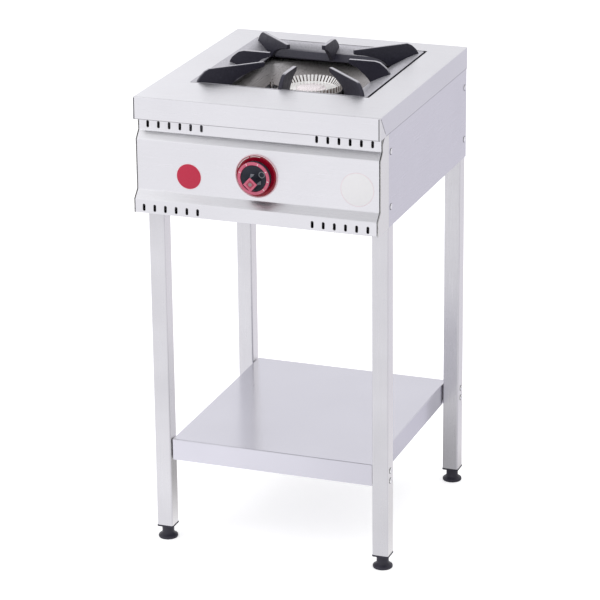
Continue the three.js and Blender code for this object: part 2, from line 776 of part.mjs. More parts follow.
// A square tub hung under the deck's opening. Its ledge carries the pan support, and its floor is
// dished down to a round hole with a short collar around the burner.
function well() {
  const outer = wellInner + SHEET;
  const square = (half, z0, z1) => block(-half, half, burnerY - half, burnerY + half, z0, z1);
  const low = wellLedge - DISH_DROP;
  const outerShape = join(
    square(outer + WELL_FLANGE, wellTop - SHEET, wellTop),
    square(outer, wellLedge - SHEET, wellTop - SHEET / 2),
    turned([
      [0, low - SHEET],
      [DISH_HOLE + SHEET, low - SHEET],
      [dishRadius + SHEET, wellLedge - SHEET],
      [dishRadius + SHEET, wellLedge - SHEET / 2],
      [0, wellLedge - SHEET / 2],
    ], 0, burnerY),
  );
  return cut(
    outerShape,
    square(wellInner, wellLedge, wellTop + PAST),
    turned([
      [0, low],
      [DISH_HOLE + SHEET, low],
      [dishRadius, wellLedge],
      [dishRadius, wellLedge + PAST],
      [0, wellLedge + PAST],
    ], 0, burnerY),
    bar(DISH_HOLE, [0, burnerY, low - SHEET - PAST], [0, burnerY, low + PAST], FINE),
    pilotSlot(low - SHEET - PAST, wellLedge),
  );
}

// The slot in the dish that the pilot burner and the thermocouple stand in.
function pilotSlot(z0, z1) {
  return block(
    PILOT_X - PILOT - PILOT_SLOT_MARGIN / 2,
    PROBE_X + PROBE + PILOT_SLOT_MARGIN / 2,
    burnerY + PROBE_Y - PROBE - PILOT_SLOT_MARGIN,
    burnerY + PILOT_Y + PILOT + PILOT_SLOT_MARGIN,
    z0,
    z1,
  );
}

piece('well', well(), brightSteel);

// ---------------------------------------------------------------- pan support

// A square ring from a section of [half width, height] points, made as a turned shape with four sides.
function squareRing(section) {
  const points = section.map(([half, z]) => new THREE.Vector2(half * Math.SQRT2, z));
  const geometry = new THREE.LatheGeometry(points, 4, Math.PI / 4);
  geometry.rotateX(Math.PI / 2);
  geometry.translate(0, burnerY, 0);
  return solid(geometry);
}

// A finger's side view, as [distance from the casting's middle, height above the deck] points: a flat
// top, a shoulder down into the frame, and an arched underside from the frame back up to the tip.
function fingerOutline(finger, spread) {
  const root = (grate - finger.inset) * spread;
  const inner = grateInner * spread;
  const under = (distance) => {
    const half = distance / spread;
    return -GRATE_DROP - ((grate - half) / GRATE_SLOPE) * GRATE_SLOPE_DROP - GRATE_FLANGE / 2;
  };
  return [
    [finger.tip, FINGER_RISE],
    ...finger.shoulder.map(([inward, drop]) => [root - inward, FINGER_RISE - drop]),
    [root, under(root)],
    [inner + 2 * GRATE_EDGE, under(inner + 2 * GRATE_EDGE)],
    [inner, under(inner)],
    ...finger.arch,
    [finger.tip, finger.tipUnder],
  ];
}

function panSupport() {
  const outer = grate;
  const inner = grateInner;
  const top = DECK_HEIGHT - GRATE_DROP;
  const foot = wellLedge + GAP;
  const low = top - GRATE_SLOPE_DROP;
  const frame = squareRing([
    [outer, foot],
    [outer, top - GRATE_EDGE],
    [outer - GRATE_EDGE, top],
    [inner + 2 * GRATE_EDGE, low + GRATE_EDGE],
    [inner, low - GRATE_EDGE],
    [inner, low - GRATE_FLANGE],
    [outer - GRATE_WALL, top - GRATE_FLANGE - 2 * GRATE_EDGE],
    [outer - GRATE_WALL, foot],
    [outer, foot],
  ]);
  const fingers = [];
  for (let turn = 0; turn < 8; turn += 1) {
    const outline = turn % 2 ? fingerOutline(FINGER_CORNER, Math.SQRT2) : fingerOutline(FINGER_SIDE, 1);
    const half = FINGER_THICKNESS / 2;
    const geometry = plate(outline, -half, half, FINGER_BEVEL);
    geometry.rotateX(Math.PI / 2);
    geometry.rotateZ((turn * Math.PI) / 4);
    geometry.translate(0, burnerY, DECK_HEIGHT);
    fingers.push(solid(geometry));
  }
  return join(frame, ...fingers).translate([...GRATE_SHIFT, 0]);
}

piece('pan_support', panSupport(), castIron);

// ---------------------------------------------------------------- burner

const potInner = POT_TOP_RADIUS - POT_WALL;

// The crown: a toothed rim that slopes in to a flat floor, on a short skirt that sits in the pot.
function crown() {
  const toothFoot = CROWN_RADIUS - CROWN_RIM - CROWN_TOOTH_RUN;
  const skirt = potInner - 2 * GAP;
  const skirtBottom = crownBottom - CROWN_SKIRT;
  const body = turned([
    [CAP_SPIGOT + GAP, crownFloorTop],
    [toothFoot, crownFloorTop],
    [CROWN_RADIUS - CROWN_RIM, crownTop],
    [CROWN_RADIUS, crownTop],
    [CROWN_RADIUS, crownFloorTop + CROWN_FLOOR],
    [POT_TOP_RADIUS, crownBottom],
    [skirt, crownBottom],
    [skirt, skirtBottom],
    [skirt - CROWN_FLOOR, skirtBottom],
    [skirt - CROWN_FLOOR, crownBottom],
    [CAP_SPIGOT + GAP, crownBottom],
    [CAP_SPIGOT + GAP, crownFloorTop],
  ], 0, burnerY, CROWN_SLOTS);
  const slots = [];
  for (let index = 0; index < CROWN_SLOTS; index += 1) {
    const depth = CROWN_TOOTH_DROP;
    const slot = new THREE.BoxGeometry(CROWN_RADIUS, CROWN_SLOT_WIDTH, depth);
    slot.translate(toothFoot + CROWN_RADIUS / 2, 0, crownTop - depth / 2 + PAST);
    slot.rotateZ((2 * Math.PI * (index + 0.5)) / CROWN_SLOTS);
    slot.translate(0, burnerY, 0);
    slots.push(solid(slot));
  }
  return cut(body, ...slots);
}

piece('burner_crown', crown(), brightSteel);

const capBottom = crownFloorTop + GAP;
piece('burner_cap', turned([
  [0, crownBottom - CROWN_SKIRT],
  [CAP_SPIGOT, crownBottom - CROWN_SKIRT],
  [CAP_SPIGOT, capBottom],
  [CAP_RADIUS, capBottom],
  [CAP_RADIUS, capBottom + CAP_THICKNESS / 2],
  [CAP_FLAT, capBottom + CAP_THICKNESS],
  [0, capBottom + CAP_THICKNESS + CAP_DOME],
], 0, burnerY), brightSteel);

function pot() {
  const floor = potBottom + POT_WALL;
  const outer = turned([
    [0, potBottom],
    [POT_BOTTOM_RADIUS, potBottom],
    [POT_BOTTOM_RADIUS + POT_WALL, potBottom + POT_WALL],
    [POT_TOP_RADIUS, potTop - POT_STRAIGHT],
    [POT_TOP_RADIUS, potTop],
    [0, potTop],
  ], 0, burnerY);
  const inner = turned([
    [0, floor],
    [POT_BOTTOM_RADIUS, floor],
    [potInner, potTop - POT_STRAIGHT],
    [potInner, potTop + PAST],
    [0, potTop + PAST],
  ], 0, burnerY);
  const boss = bar(MIXER_BOSS, [0, burnerY - POT_BOTTOM_RADIUS / 2, mixerZ], [0, bossFront, mixerZ]);
  const bore = bar(MIXER_RADIUS + GAP, [0, burnerY, mixerZ], [0, bossFront - PAST, mixerZ]);
  return cut(join(outer, boss), inner, bore);
}

piece('burner_pot', pot(), castIron);

// Round air holes in a ring, through a plate across the mixer tube's mouth.
function airHoles(y0, y1) {
  const holes = [];
  for (let index = 0; index < AIR_HOLES; index += 1) {
    const angle = (2 * Math.PI * index) / AIR_HOLES;
    const x = AIR_HOLE_CIRCLE * Math.cos(angle);
    const z = mixerZ + AIR_HOLE_CIRCLE * Math.sin(angle);
    holes.push(bar(AIR_HOLE, [x, y0, z], [x, y1, z], SMALL));
  }
  return holes;
}

const mouthAt = mixerLength - MIXER_MOUTH_LENGTH;
const throatAt = mixerLength * MIXER_THROAT_SHARE;
const plateFront = mixerFront - PAST;
const plateBack = mixerFront + MIXER_PLATE + PAST;
const mixer = cut(
  turnedForward([
    [0, 0],
    [MIXER_RADIUS, 0],
    [MIXER_RADIUS, throatAt / 2],
    [MIXER_THROAT, throatAt],
    [MIXER_MOUTH, mouthAt],
    [MIXER_MOUTH, mixerLength],
    [0, mixerLength],
  ], 0, mixerBack, mixerZ, ROUND),
  turnedForward([
    [0, -PAST],
    [MIXER_RADIUS - MIXER_WALL, -PAST],
    [MIXER_RADIUS - MIXER_WALL, throatAt / 2],
    [MIXER_THROAT - MIXER_WALL, throatAt],
    [MIXER_MOUTH - MIXER_WALL, mouthAt],
    [MIXER_MOUTH - MIXER_WALL, mixerLength - MIXER_PLATE],
    [0, mixerLength - MIXER_PLATE],
  ], 0, mixerBack, mixerZ, ROUND),
  bar(INJECTOR_NOZZLE + GAP, [0, plateFront, mixerZ], [0, plateBack, mixerZ]),
  ...airHoles(plateFront, plateBack),
);
piece('mixer_tube', mixer, castIron);

// The air shutter: a cap that turns on the tube's mouth and covers or frees the air holes.
const shutterFace = mixerFront - GAP;
const shutterRadius = MIXER_MOUTH + GAP;
const shutter = cut(
  bar(
    shutterRadius + SHUTTER_WALL,
    [0, shutterFace - SHUTTER_WALL, mixerZ],
    [0, shutterFace + SHUTTER_LENGTH, mixerZ],
  ),
  bar(shutterRadius, [0, shutterFace, mixerZ], [0, shutterFace + SHUTTER_LENGTH + PAST, mixerZ]),
  bar(
    INJECTOR_NOZZLE + GAP,
    [0, shutterFace - SHUTTER_WALL - PAST, mixerZ],
    [0, shutterFace + PAST, mixerZ],
  ),
  ...airHoles(shutterFace - SHUTTER_WALL - PAST, shutterFace + PAST),
);
piece('air_shutter', shutter, galvanised);

// The injector: a hexagon with a nozzle that passes through the shutter and the tube's plate.
const injectorFront = shutterFace - SHUTTER_WALL - GAP;
const injectorBack = injectorFront - INJECTOR_LENGTH;
const nozzleTip = mixerFront + MIXER_PLATE + INJECTOR_INSIDE;
const injector = join(
  bar(INJECTOR_NOZZLE, [0, injectorFront - PAST, mixerZ], [0, nozzleTip, mixerZ]),
  bar(INJECTOR, [0, injectorBack, mixerZ], [0, injectorFront, mixerZ], 6),
);
piece('injector', injector, brass);

// The bracket under the pot: a channel from one side panel to the other.
const bracketTop = potBottom - GAP;
const bracketHalf = sideInner - GAP;
const bracket = cut(
  block(
    -bracketHalf,
    bracketHalf,
    burnerY - BRACKET_WIDTH / 2,
    burnerY + BRACKET_WIDTH / 2,
    bracketTop - BRACKET_HEIGHT,
    bracketTop,
  ),
  block(
    -bracketHalf + BRACKET_SHEET,
    bracketHalf - BRACKET_SHEET,
    burnerY - BRACKET_WIDTH / 2 + BRACKET_SHEET,
    burnerY + BRACKET_WIDTH / 2 - BRACKET_SHEET,
    bracketTop - BRACKET_HEIGHT - PAST,
    bracketTop - BRACKET_SHEET,
  ),
);
piece('burner_bracket', bracket, galvanised);

// ---------------------------------------------------------------- gas cock

const outletTop = cockHeight + COCK_RADIUS + OUTLET_RISE;
const inletEnd = COCK_RADIUS + INLET_REACH;
const inletStart = COCK_BORE + PAST;
const sideways = (radius, x0, x1) => bar(radius, [x0, cockMiddle, cockHeight], [x1, cockMiddle, cockHeight]);
const cock = cut(
  join(
    bar(COCK_RADIUS, [0, cockFront, cockHeight], [0, cockBack, cockHeight]),
    bar(FEED + OUTLET_WALL, [0, cockMiddle, cockHeight + inletStart], [0, cockMiddle, outletTop]),
    sideways(RAIL + INLET_WALL, inletStart, inletEnd),
    sideways(PILOT_TUBE + INLET_WALL, -inletStart, -inletEnd),
  ),
  bar(
    COCK_BORE,
    [0, cockFront - PAST, cockHeight],
    [0, cockFront + PLUG_FRONT + PLUG_LENGTH + GAP, cockHeight],
  ),
);
piece('cock_body', cock, brass);

// The plug turns in the body. The spindle slides in the plug and carries the knob.
const plugFront = cockFront + PLUG_FRONT;
const plugBack = plugFront + PLUG_LENGTH;
const spindleBack = plugBack - KNOB_TRAVEL - SPINDLE_END;
const spindleFront = panelFlatY - KNOB_LIFT - KNOB_BORE;
const plug = cut(
  bar(COCK_BORE - GAP, [0, plugFront, cockHeight], [0, plugBack, cockHeight]),
  bar(SPINDLE + GAP, [0, plugFront - PAST, cockHeight], [0, spindleBack + KNOB_TRAVEL + PAST, cockHeight]),
);
piece('cock_plug', plug, brass);
piece('cock_spindle', bar(SPINDLE, [0, spindleFront, cockHeight], [0, spindleBack, cockHeight]), brightSteel);

// ---------------------------------------------------------------- bezel and knob

// Heights here are measured forwards from the panel's flat face.
const lipEase = 0.3 * BEZEL_LIP;
const bezel = turnedForward([
  [SPINDLE_HOLE, GAP],
  [BEZEL_RADIUS, GAP],
  [BEZEL_RADIUS, BEZEL_HEIGHT - BEZEL_LIP],
  [BEZEL_RADIUS - lipEase, BEZEL_HEIGHT - lipEase],
  [BEZEL_RADIUS - BEZEL_LIP, BEZEL_HEIGHT],
  [BEZEL_RADIUS - 2 * BEZEL_LIP + lipEase, BEZEL_HEIGHT - lipEase],
  [BEZEL_RADIUS - 2 * BEZEL_LIP, GAP + BEZEL_FLOOR],
  [SPINDLE_HOLE, GAP + BEZEL_FLOOR],
  [SPINDLE_HOLE, GAP],
], 0, panelFlatY, cockHeight);
piece('knob_bezel', bezel, redPlastic);

const knobFace = KNOB_LIFT + KNOB_BODY;
const ringBack = knobFace - KNOB_RING_HEIGHT;
const ringInner = KNOB_RADIUS - KNOB_RING;

// An outline on the knob's face, drawn with the pointer's direction as +X, raised from one height to
// another in front of the panel.
function onKnob(outline, h0, h1) {
  const geometry = plate(outline, h0, h1);
  geometry.rotateZ((KNOB_ANGLE * Math.PI) / 180);
  geometry.rotateX(Math.PI / 2);
  geometry.translate(0, panelFlatY, cockHeight);
  return solid(geometry);
}

function knob() {
  const body = turnedForward([
    [0, KNOB_LIFT],
    [KNOB_RADIUS - KNOB_EDGE, KNOB_LIFT],
    [KNOB_RADIUS - KNOB_SINK, KNOB_LIFT + KNOB_EDGE],
    [KNOB_RADIUS - KNOB_SINK, ringBack - GAP],
    [ringInner - GAP, ringBack - GAP],
    [ringInner - GAP, knobFace - 2 * KNOB_SINK],
    [ringInner - KNOB_DISH, knobFace - KNOB_SINK],
    [0, knobFace - KNOB_DISH],
  ], 0, panelFlatY, cockHeight);
  const bore = bar(
    SPINDLE + GAP,
    [0, panelFlatY - KNOB_LIFT + PAST, cockHeight],
    [0, spindleFront - GAP, cockHeight],
  );
  return cut(join(body, grip()), bore);
}

// The grip: a square block that flares to its foot, with one side square to the pointer's direction.
function grip() {
  const profile = [
    [0, knobFace - KNOB_GRIP_ROOT],
    [KNOB_GRIP_FOOT / 2, knobFace - KNOB_GRIP_ROOT],
    [KNOB_GRIP_WIDTH / 2, knobFace + KNOB_GRIP],
    [0, knobFace + KNOB_GRIP],
  ].map(([half, height]) => new THREE.Vector2(half * Math.SQRT2, height));
  const angle = (KNOB_ANGLE * Math.PI) / 180;
  const geometry = new THREE.LatheGeometry(profile, 4, Math.PI / 4);
  geometry.rotateX(Math.PI);
  geometry.rotateY(-angle);
  geometry.translate(KNOB_GRIP_PLACE[0], panelFlatY, cockHeight + KNOB_GRIP_PLACE[1]);
  return solid(geometry);
}

piece('knob', knob(), blackPlastic);

piece('knob_ring', turnedForward([
  [ringInner, ringBack],
  [KNOB_RADIUS, ringBack],
  [KNOB_RADIUS, knobFace - 2 * KNOB_SINK],
  [KNOB_RADIUS - 2 * KNOB_SINK, knobFace],
  [ringInner + KNOB_SINK, knobFace],
  [ringInner, knobFace - KNOB_SINK],
  [ringInner, ringBack],
], 0, panelFlatY, cockHeight), redPlastic);

const padHalf = KNOB_GRIP_WIDTH / 2;
const padMiddle = new THREE.Vector2(...KNOB_GRIP_PLACE)
  .rotateAround(new THREE.Vector2(), (-KNOB_ANGLE * Math.PI) / 180);
const padSquare = [[-1, -1], [1, -1], [1, 1], [-1, 1]]
  .map(([x, y]) => [padMiddle.x + x * padHalf, padMiddle.y + y * padHalf]);
const padBack = knobFace + KNOB_GRIP + GAP / 3;
piece('knob_pointer', onKnob(padSquare, padBack, padBack + KNOB_POINTER), redPlastic);

// ---------------------------------------------------------------- gas pipes

const unionBack = deckBack - GAP;
const unionFront = unionBack - 2 * UNION_LENGTH;
const union = join(
  bar(UNION, [railX, unionFront, cockHeight], [railX, unionFront + UNION_LENGTH, cockHeight], 6),
  bar(UNION_THREAD, [railX, unionFront + PAST, cockHeight], [railX, unionBack, cockHeight]),
);
const unionBore = bar(
  RAIL - RAIL_WALL,
  [railX, unionFront - PAST, cockHeight],
  [railX, unionBack + PAST, cockHeight],
);
piece('inlet_union', cut(union, unionBore), brass);

piece('gas_rail', pipe([
  [inletEnd + GAP, cockMiddle, cockHeight],
  [railX, cockMiddle, cockHeight],
  [railX, unionFront - GAP, cockHeight],
], RAIL, RAIL_BEND, SMALL, RAIL_WALL), galvanised);

piece('feed_pipe', pipe([
  [0, cockMiddle, outletTop + GAP],
  [0, cockMiddle, mixerZ],
  [0, injectorBack - GAP, mixerZ],
], FEED, FEED_BEND), copper);

// ---------------------------------------------------------------- pilot burner and thermocouple

const pilotY = burnerY + PILOT_Y;
const probeY = burnerY + PROBE_Y;
const armTop = potTop - PILOT_ARM_RISE + PILOT_ARM;
const armBottom = armTop - PILOT_ARM;
const pilotTop = crownTop - PILOT_RISE;
const probeTop = crownTop + PROBE_RISE;
const stemBottom = armBottom - PILOT_STEM;

const arm = block(
  PILOT_X - PILOT - PILOT_ARM_MARGIN,
  -POT_TOP_RADIUS - GAP,
  probeY - PROBE - 2 * PILOT_ARM_MARGIN,
  pilotY + PILOT + PILOT_ARM_MARGIN,
  armBottom,
  armTop,
);
const pilot = cut(
  join(arm, bar(PILOT, [PILOT_X, pilotY, stemBottom], [PILOT_X, pilotY, pilotTop], SMALL)),
  bar(PROBE + GAP, [PROBE_X, probeY, armBottom - PAST], [PROBE_X, probeY, armTop + PAST], SMALL),
);
piece('pilot_burner', pilot, brass);

const tipStart = probeTop - PROBE_TIP_LENGTH;
piece('thermocouple', join(
  bar(PROBE, [PROBE_X, probeY, stemBottom], [PROBE_X, probeY, tipStart], SMALL),
  bar(PROBE_TIP, [PROBE_X, probeY, tipStart - 2 * PAST], [PROBE_X, probeY, probeTop], SMALL),
), brightSteel);

const tubeRun = stemBottom - PILOT_TUBE_DROP;
piece('pilot_tube', pipe([
  [PILOT_X, pilotY, stemBottom - GAP],
  [PILOT_X, pilotY, tubeRun],
  [PILOT_X, bossFront, tubeRun],
  [PILOT_X, bossFront, cockHeight],
  [PILOT_X, cockMiddle, cockHeight],
  [-inletEnd - GAP, cockMiddle, cockHeight],
], PILOT_TUBE, SMALL_BEND, 6), copper);

const leadHeight = cockHeight + COCK_RADIUS / 2;
const leadTurn = bossFront - LEAD_TURN;
piece('thermocouple_lead', pipe([
  [PROBE_X, probeY, stemBottom - GAP],
  [PROBE_X, probeY, tubeRun],
  [PROBE_X, leadTurn, tubeRun],
  [PROBE_X, leadTurn, leadHeight],
  [0, leadTurn, leadHeight],
  [0, cockBack + GAP, leadHeight],
], LEAD, SMALL_BEND, 6), copper);

// The origin is on the floor under the middle of the whole range, from the knob to the rear feet.
const frontmost = panelFlatY - padBack - KNOB_POINTER;
const rearmost = rearLegBack - LEG / 2 + FOOT_DISC;
range.position.y = -(frontmost + rearmost) / 2;

export default range;
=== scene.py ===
"""A free-standing stock pot range in brushed stainless steel, with a cast pan support over one burner."""

import math

import bmesh
import bpy
from mathutils import Matrix, Vector


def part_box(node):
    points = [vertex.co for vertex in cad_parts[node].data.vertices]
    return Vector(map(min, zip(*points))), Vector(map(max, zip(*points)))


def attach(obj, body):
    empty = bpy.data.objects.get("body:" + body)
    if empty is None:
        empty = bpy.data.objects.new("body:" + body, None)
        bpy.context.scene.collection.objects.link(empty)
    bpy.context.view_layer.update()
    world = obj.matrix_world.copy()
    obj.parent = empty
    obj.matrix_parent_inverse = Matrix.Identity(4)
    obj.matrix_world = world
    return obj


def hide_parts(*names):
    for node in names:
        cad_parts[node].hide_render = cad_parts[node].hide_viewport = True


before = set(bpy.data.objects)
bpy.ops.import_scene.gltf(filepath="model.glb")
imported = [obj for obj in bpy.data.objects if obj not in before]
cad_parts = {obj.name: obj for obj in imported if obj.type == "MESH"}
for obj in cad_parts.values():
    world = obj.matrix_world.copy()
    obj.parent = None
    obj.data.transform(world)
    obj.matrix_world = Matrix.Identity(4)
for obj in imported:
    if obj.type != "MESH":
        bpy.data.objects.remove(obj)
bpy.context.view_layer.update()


# ---------------- legs
# Four posts of 30 mm square stainless tube with drawn corners, satin brushed along their length.
# They run from the end caps up to the underside of the deck and carry every panel.

CORNERS = ["front_left", "front_right", "rear_left", "rear_right"]
SHEET = 0.0012  # thickness of every folded or pressed sheet
LEG_WALL = 0.0015
LEG_CORNER = 0.003
STEEL_LIGHT = (0.86, 0.86, 0.875, 1)
STEEL_DARK = (0.78, 0.78, 0.80, 1)
LEG_LIGHT = (0.82, 0.82, 0.835, 1)
LEG_DARK = (0.62, 0.615, 0.63, 1)
# The tubes' sides take lighter, warmer colours than their fronts and backs: painted light on the sides.
TUBE_SIDE_PAINTED_LIGHT = (0.99, 0.98, 0.945, 1)
TUBE_SIDE_PAINTED_LIGHT_LOW = (0.90, 0.89, 0.88, 1)
UPRIGHT = (900, 900, 14)  # stretch of the brushed grain along X, Y and Z, as the next
TUBE_GRAIN = (600, 600, 9)


def give(inputs, values):
    """Fills inputs by name or number; a value that is another node's output is linked to its input."""
    for key, value in values.items():
        socket = inputs[key]
        if isinstance(value, bpy.types.NodeSocket):
            socket.id_data.links.new(value, socket)
        else:
            socket.default_value = value


def add_node(tree, kind, values=(), **settings):
    """Adds a shader node, sets it up, fills its inputs and returns its outputs."""
    node = tree.nodes.new("ShaderNode" + kind)
    for name, setting in settings.items():
        setattr(node, name, setting)
    give(node.inputs, dict(values))
    return node.outputs


def own_space(tree):
    """A point's place in its object's own space."""
    return add_node(tree, "TexCoord")["Object"]


def noise(tree, scale, detail=2, roughness=0.5, place=None):
    """A noise from 0 to 1, in the object's own space unless a place socket is given."""
    values = {"Vector": place or own_space(tree), "Scale": scale, "Detail": detail, "Roughness": roughness}
    return add_node(tree, "TexNoise", values)["Fac"]


def shader_material(name):
    """A new material, its node tree and its Principled shader."""
    material = bpy.data.materials.new(name)
    material.use_nodes = True
    tree = material.node_tree
    return material, tree, tree.nodes["Principled BSDF"]


def blend_colours(tree, factor, first, second):
    """The mix of two colours or colour sockets by a factor socket."""
    return add_node(tree, "Mix", {"Factor": factor, "A": first, "B": second}, data_type="RGBA")["Result"]


def spread(tree, factor, low, high, start=0.3, stop=0.7):
    """Maps start to stop, by default the middle of a noise's range, to the range from low to high."""
    limits = {"From Min": start, "From Max": stop, "To Min": low, "To Max": high}
    return add_node(tree, "MapRange", {"Value": factor, **limits})["Result"]


def raise_surface(tree, shader, height, strength, distance):
    """A Bump node that feeds the shader's normal."""
    values = {"Strength": strength, "Distance": distance, "Height": height}
    give(shader.inputs, {"Normal": add_node(tree, "Bump", values)["Normal"]})


def start_group(name, inputs, outputs):
    """A new shader node group, with its own ends: what it is given and what it puts out."""
    group = bpy.data.node_groups.new(name, "ShaderNodeTree")
    for side, sockets in (("INPUT", inputs), ("OUTPUT", outputs)):
        for socket, kind in sockets.items():
            group.interface.new_socket(socket, in_out=side, socket_type="NodeSocket" + kind)
    return group, group.nodes.new("NodeGroupInput").outputs, group.nodes.new("NodeGroupOutput").inputs


def brushed_grain_group():
    """Satin brushing: fine streaks along the axis with the smallest stretch, and a broad cloud."""
    outputs = {"Streaks": "Float", "Cloud": "Float"}
    group, given, result = start_group("Brushed grain", {"Stretch": "Vector"}, outputs)
    drawn_out = {0: own_space(group), 1: given["Stretch"]}
    drawn_out = add_node(group, "VectorMath", drawn_out, operation="MULTIPLY")["Vector"]
    give(result, {"Streaks": noise(group, 1, 5, 0.7, drawn_out), "Cloud": noise(group, 7, 3)})
    return group


BRUSHED_GRAIN = brushed_grain_group()


def brushed_steel(name, stretch, light=STEEL_LIGHT, dark=STEEL_DARK, rough=(0.24, 0.4), metallic=1.0):
    """Satin stainless steel, brushed along the axis in which the grain is stretched least."""
    material, tree, shader = shader_material(name)
    grain = add_node(tree, "Group", {"Stretch": stretch}, node_tree=BRUSHED_GRAIN)
    give(shader.inputs, {
        "Base Color": blend_colours(tree, grain["Cloud"], dark, light),
        "Roughness": spread(tree, grain["Streaks"], *rough),
        "Metallic": metallic,
    })
    raise_surface(tree, shader, grain["Streaks"], 0.08, 0.0004)
    return material


def make_object(bm, name, *materials):
    """Turns a bmesh into an object."""
    mesh = bpy.data.meshes.new(name)
    bm.to_mesh(mesh)
    bm.free()
    for material in materials:
        mesh.materials.append(material)
    piece = bpy.data.objects.new(name, mesh)
    bpy.context.collection.objects.link(piece)
    return piece


def finish_piece(bm, name, materials, body, slot, *nodes, smooth_to=35):
    """Makes a piece, shades it, and puts it on its body in place of its CAD nodes."""
    piece = make_object(bm, name, *(materials if isinstance(materials, tuple) else (materials,)))
    piece.data.shade_smooth()
    piece.data.set_sharp_from_angle(angle=math.radians(smooth_to))
    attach(piece, body)
    if nodes:
        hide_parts(*nodes)
    return piece


def add_block(bm, low, high):
    """A box between two corners; returns its vertices."""
    low, high = Vector(low), Vector(high)
    place = Matrix.Translation((low + high) / 2) @ Matrix.Diagonal((high - low).to_4d())
    return bmesh.ops.create_cube(bm, size=1, matrix=place)["verts"]


def bevel_edges(bm, edges, width, segments):
    """Rounds these edges."""
    bmesh.ops.bevel(
        bm, geom=edges, offset=width, offset_type="OFFSET", affect="EDGES",
        segments=segments, profile=0.5, material=-1, clamp_overlap=True,
    )


def rise(edge):
    """How far an edge's ends lie apart in height."""
    return abs(edge.verts[0].co.z - edge.verts[1].co.z)


def keep_faces_flat(piece):
    """Lets the rounded edges take up the whole turn, so that large faces shade flat."""
    weighted = piece.modifiers.new("flat faces", "WEIGHTED_NORMAL")
    weighted.keep_sharp = True
    weighted.weight = 100


def give_wall(piece, thickness=SHEET, inside=0):
    """Thickens a shell inwards; its inside has the material this many slots on."""
    wall = piece.modifiers.new("wall", "SOLIDIFY")
    wall.thickness = thickness
    wall.offset = -1
    wall.use_even_offset = True
    wall.material_offset = inside
    keep_faces_flat(piece)


steel_upright = brushed_steel("Steel brushed upright", UPRIGHT, LEG_LIGHT, LEG_DARK)
steel_tube_side_painted_light = brushed_steel("Tube side steel", TUBE_GRAIN, TUBE_SIDE_PAINTED_LIGHT, TUBE_SIDE_PAINTED_LIGHT_LOW)

for corner in CORNERS:
    bm = bmesh.new()
    add_block(bm, *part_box(f"leg_{corner}"))
    ends = [face for face in bm.faces if abs(face.normal.z) > 0.9]
    bmesh.ops.delete(bm, geom=ends, context="FACES_ONLY")
    bevel_edges(bm, [edge for edge in bm.edges if rise(edge) > 0.1], LEG_CORNER, 5)
    # Faces that look to the left or right take the side steel, which is painted lighter.
    for face in bm.faces:
        face.material_index = 1 if abs(face.normal.x) > 0.97 else 0
    looks = (steel_upright, steel_tube_side_painted_light)
    leg = finish_piece(bm, f"tube_leg_{corner}", looks, "range_body", "steel", f"leg_{corner}")
    give_wall(leg, LEG_WALL)


# ---------------- end caps and screw feet
# Black moulded caps pressed into the legs, each with a square flange, and a foot with a domed disc
# whose threaded stud winds into the cap. Injection-moulded plastic with a fine spark texture.

CAP_EDGE = 0.0008  # rounding of the flange's rims
CAP_CORNER = 0.003  # and of its corners
CAP_FLANGE = 0.003  # its thickness
FOOT_NECK = 0.011
FOOT_GAP = 0.0003  # between the neck and the end cap above it
FOOT_RIM = (  # inwards from the disc's edge, and up
    (0.0012, 0), (0.0004, 0.0004), (0, 0.0014), (0, 0.0036),
    (0.0005, 0.0047), (0.002, 0.0057), (0.0045, 0.0072), (0.0062, 0.0088),
)
STUD = 0.0049
STUD_PITCH = 0.00125
STUD_CORE = STUD - 0.0006
PLASTIC_DARK = (0.012, 0.011, 0.020, 1)
PLASTIC_WORN = (0.038, 0.035, 0.058, 1)
PLASTIC_BLOOM = (60, 4)  # scale and detail of a noise, as the next
PLASTIC_GRAIN = (1800, 2)
UP = (0, 0, 1)


def mottled(name, dark, pale, rough, patches, bump=None, grain=None, values=()):
    """A material whose colour and gloss vary in soft patches. The patches and the grain that is raised
    on it are given as a noise's scale and detail, the bump as its strength and height."""
    material, tree, shader = shader_material(name)
    cloud = noise(tree, *patches)
    give(shader.inputs, {
        "Base Color": blend_colours(tree, cloud, dark, pale),
        "Roughness": spread(tree, cloud, *rough),
        **dict(values),
    })
    if bump:
        raise_surface(tree, shader, noise(tree, *grain) if grain else cloud, *bump)
    return material


def moulded_plastic(name, dark, worn, rough=(0.35, 0.55), bump=0.25, gloss=0.5):
    """Moulded plastic with a fine texture and a slightly worn, paler bloom.
    On the knob grip's corners the bloom is a painted highlight.
    """
    values = {"Specular IOR Level": gloss}
    return mottled(name, dark, worn, rough, PLASTIC_BLOOM, (bump, 0.0002), PLASTIC_GRAIN, values)


def sharper(bm, angle):
    """The edges that are folded by more than an angle."""
    return [edge for edge in bm.edges if edge.calc_face_angle(0) > angle]


def face_outwards(bm):
    """Turns every face outwards."""
    bmesh.ops.recalc_face_normals(bm, faces=bm.faces)


def spin_profile(profile, centre, axis, steps):
    """Turns a profile of (radius, height along the axis) pairs about an axis through a centre."""
    bm = bmesh.new()
    axis = Vector(axis)
    across = Vector((1, 0, 0))
    verts = [bm.verts.new(Vector(centre) + across * radius + axis * height) for radius, height in profile]
    edges = [bm.edges.new(pair) for pair in zip(verts, verts[1:])]
    bmesh.ops.spin(
        bm, geom=verts + edges, cent=centre, axis=axis, dvec=(0, 0, 0),
        angle=math.tau, steps=steps, use_merge=True,
    )
    bmesh.ops.remove_doubles(bm, verts=bm.verts, dist=1e-6)
    face_outwards(bm)
    return bm


black_moulding = moulded_plastic("Black moulded plastic", PLASTIC_DARK, PLASTIC_WORN)

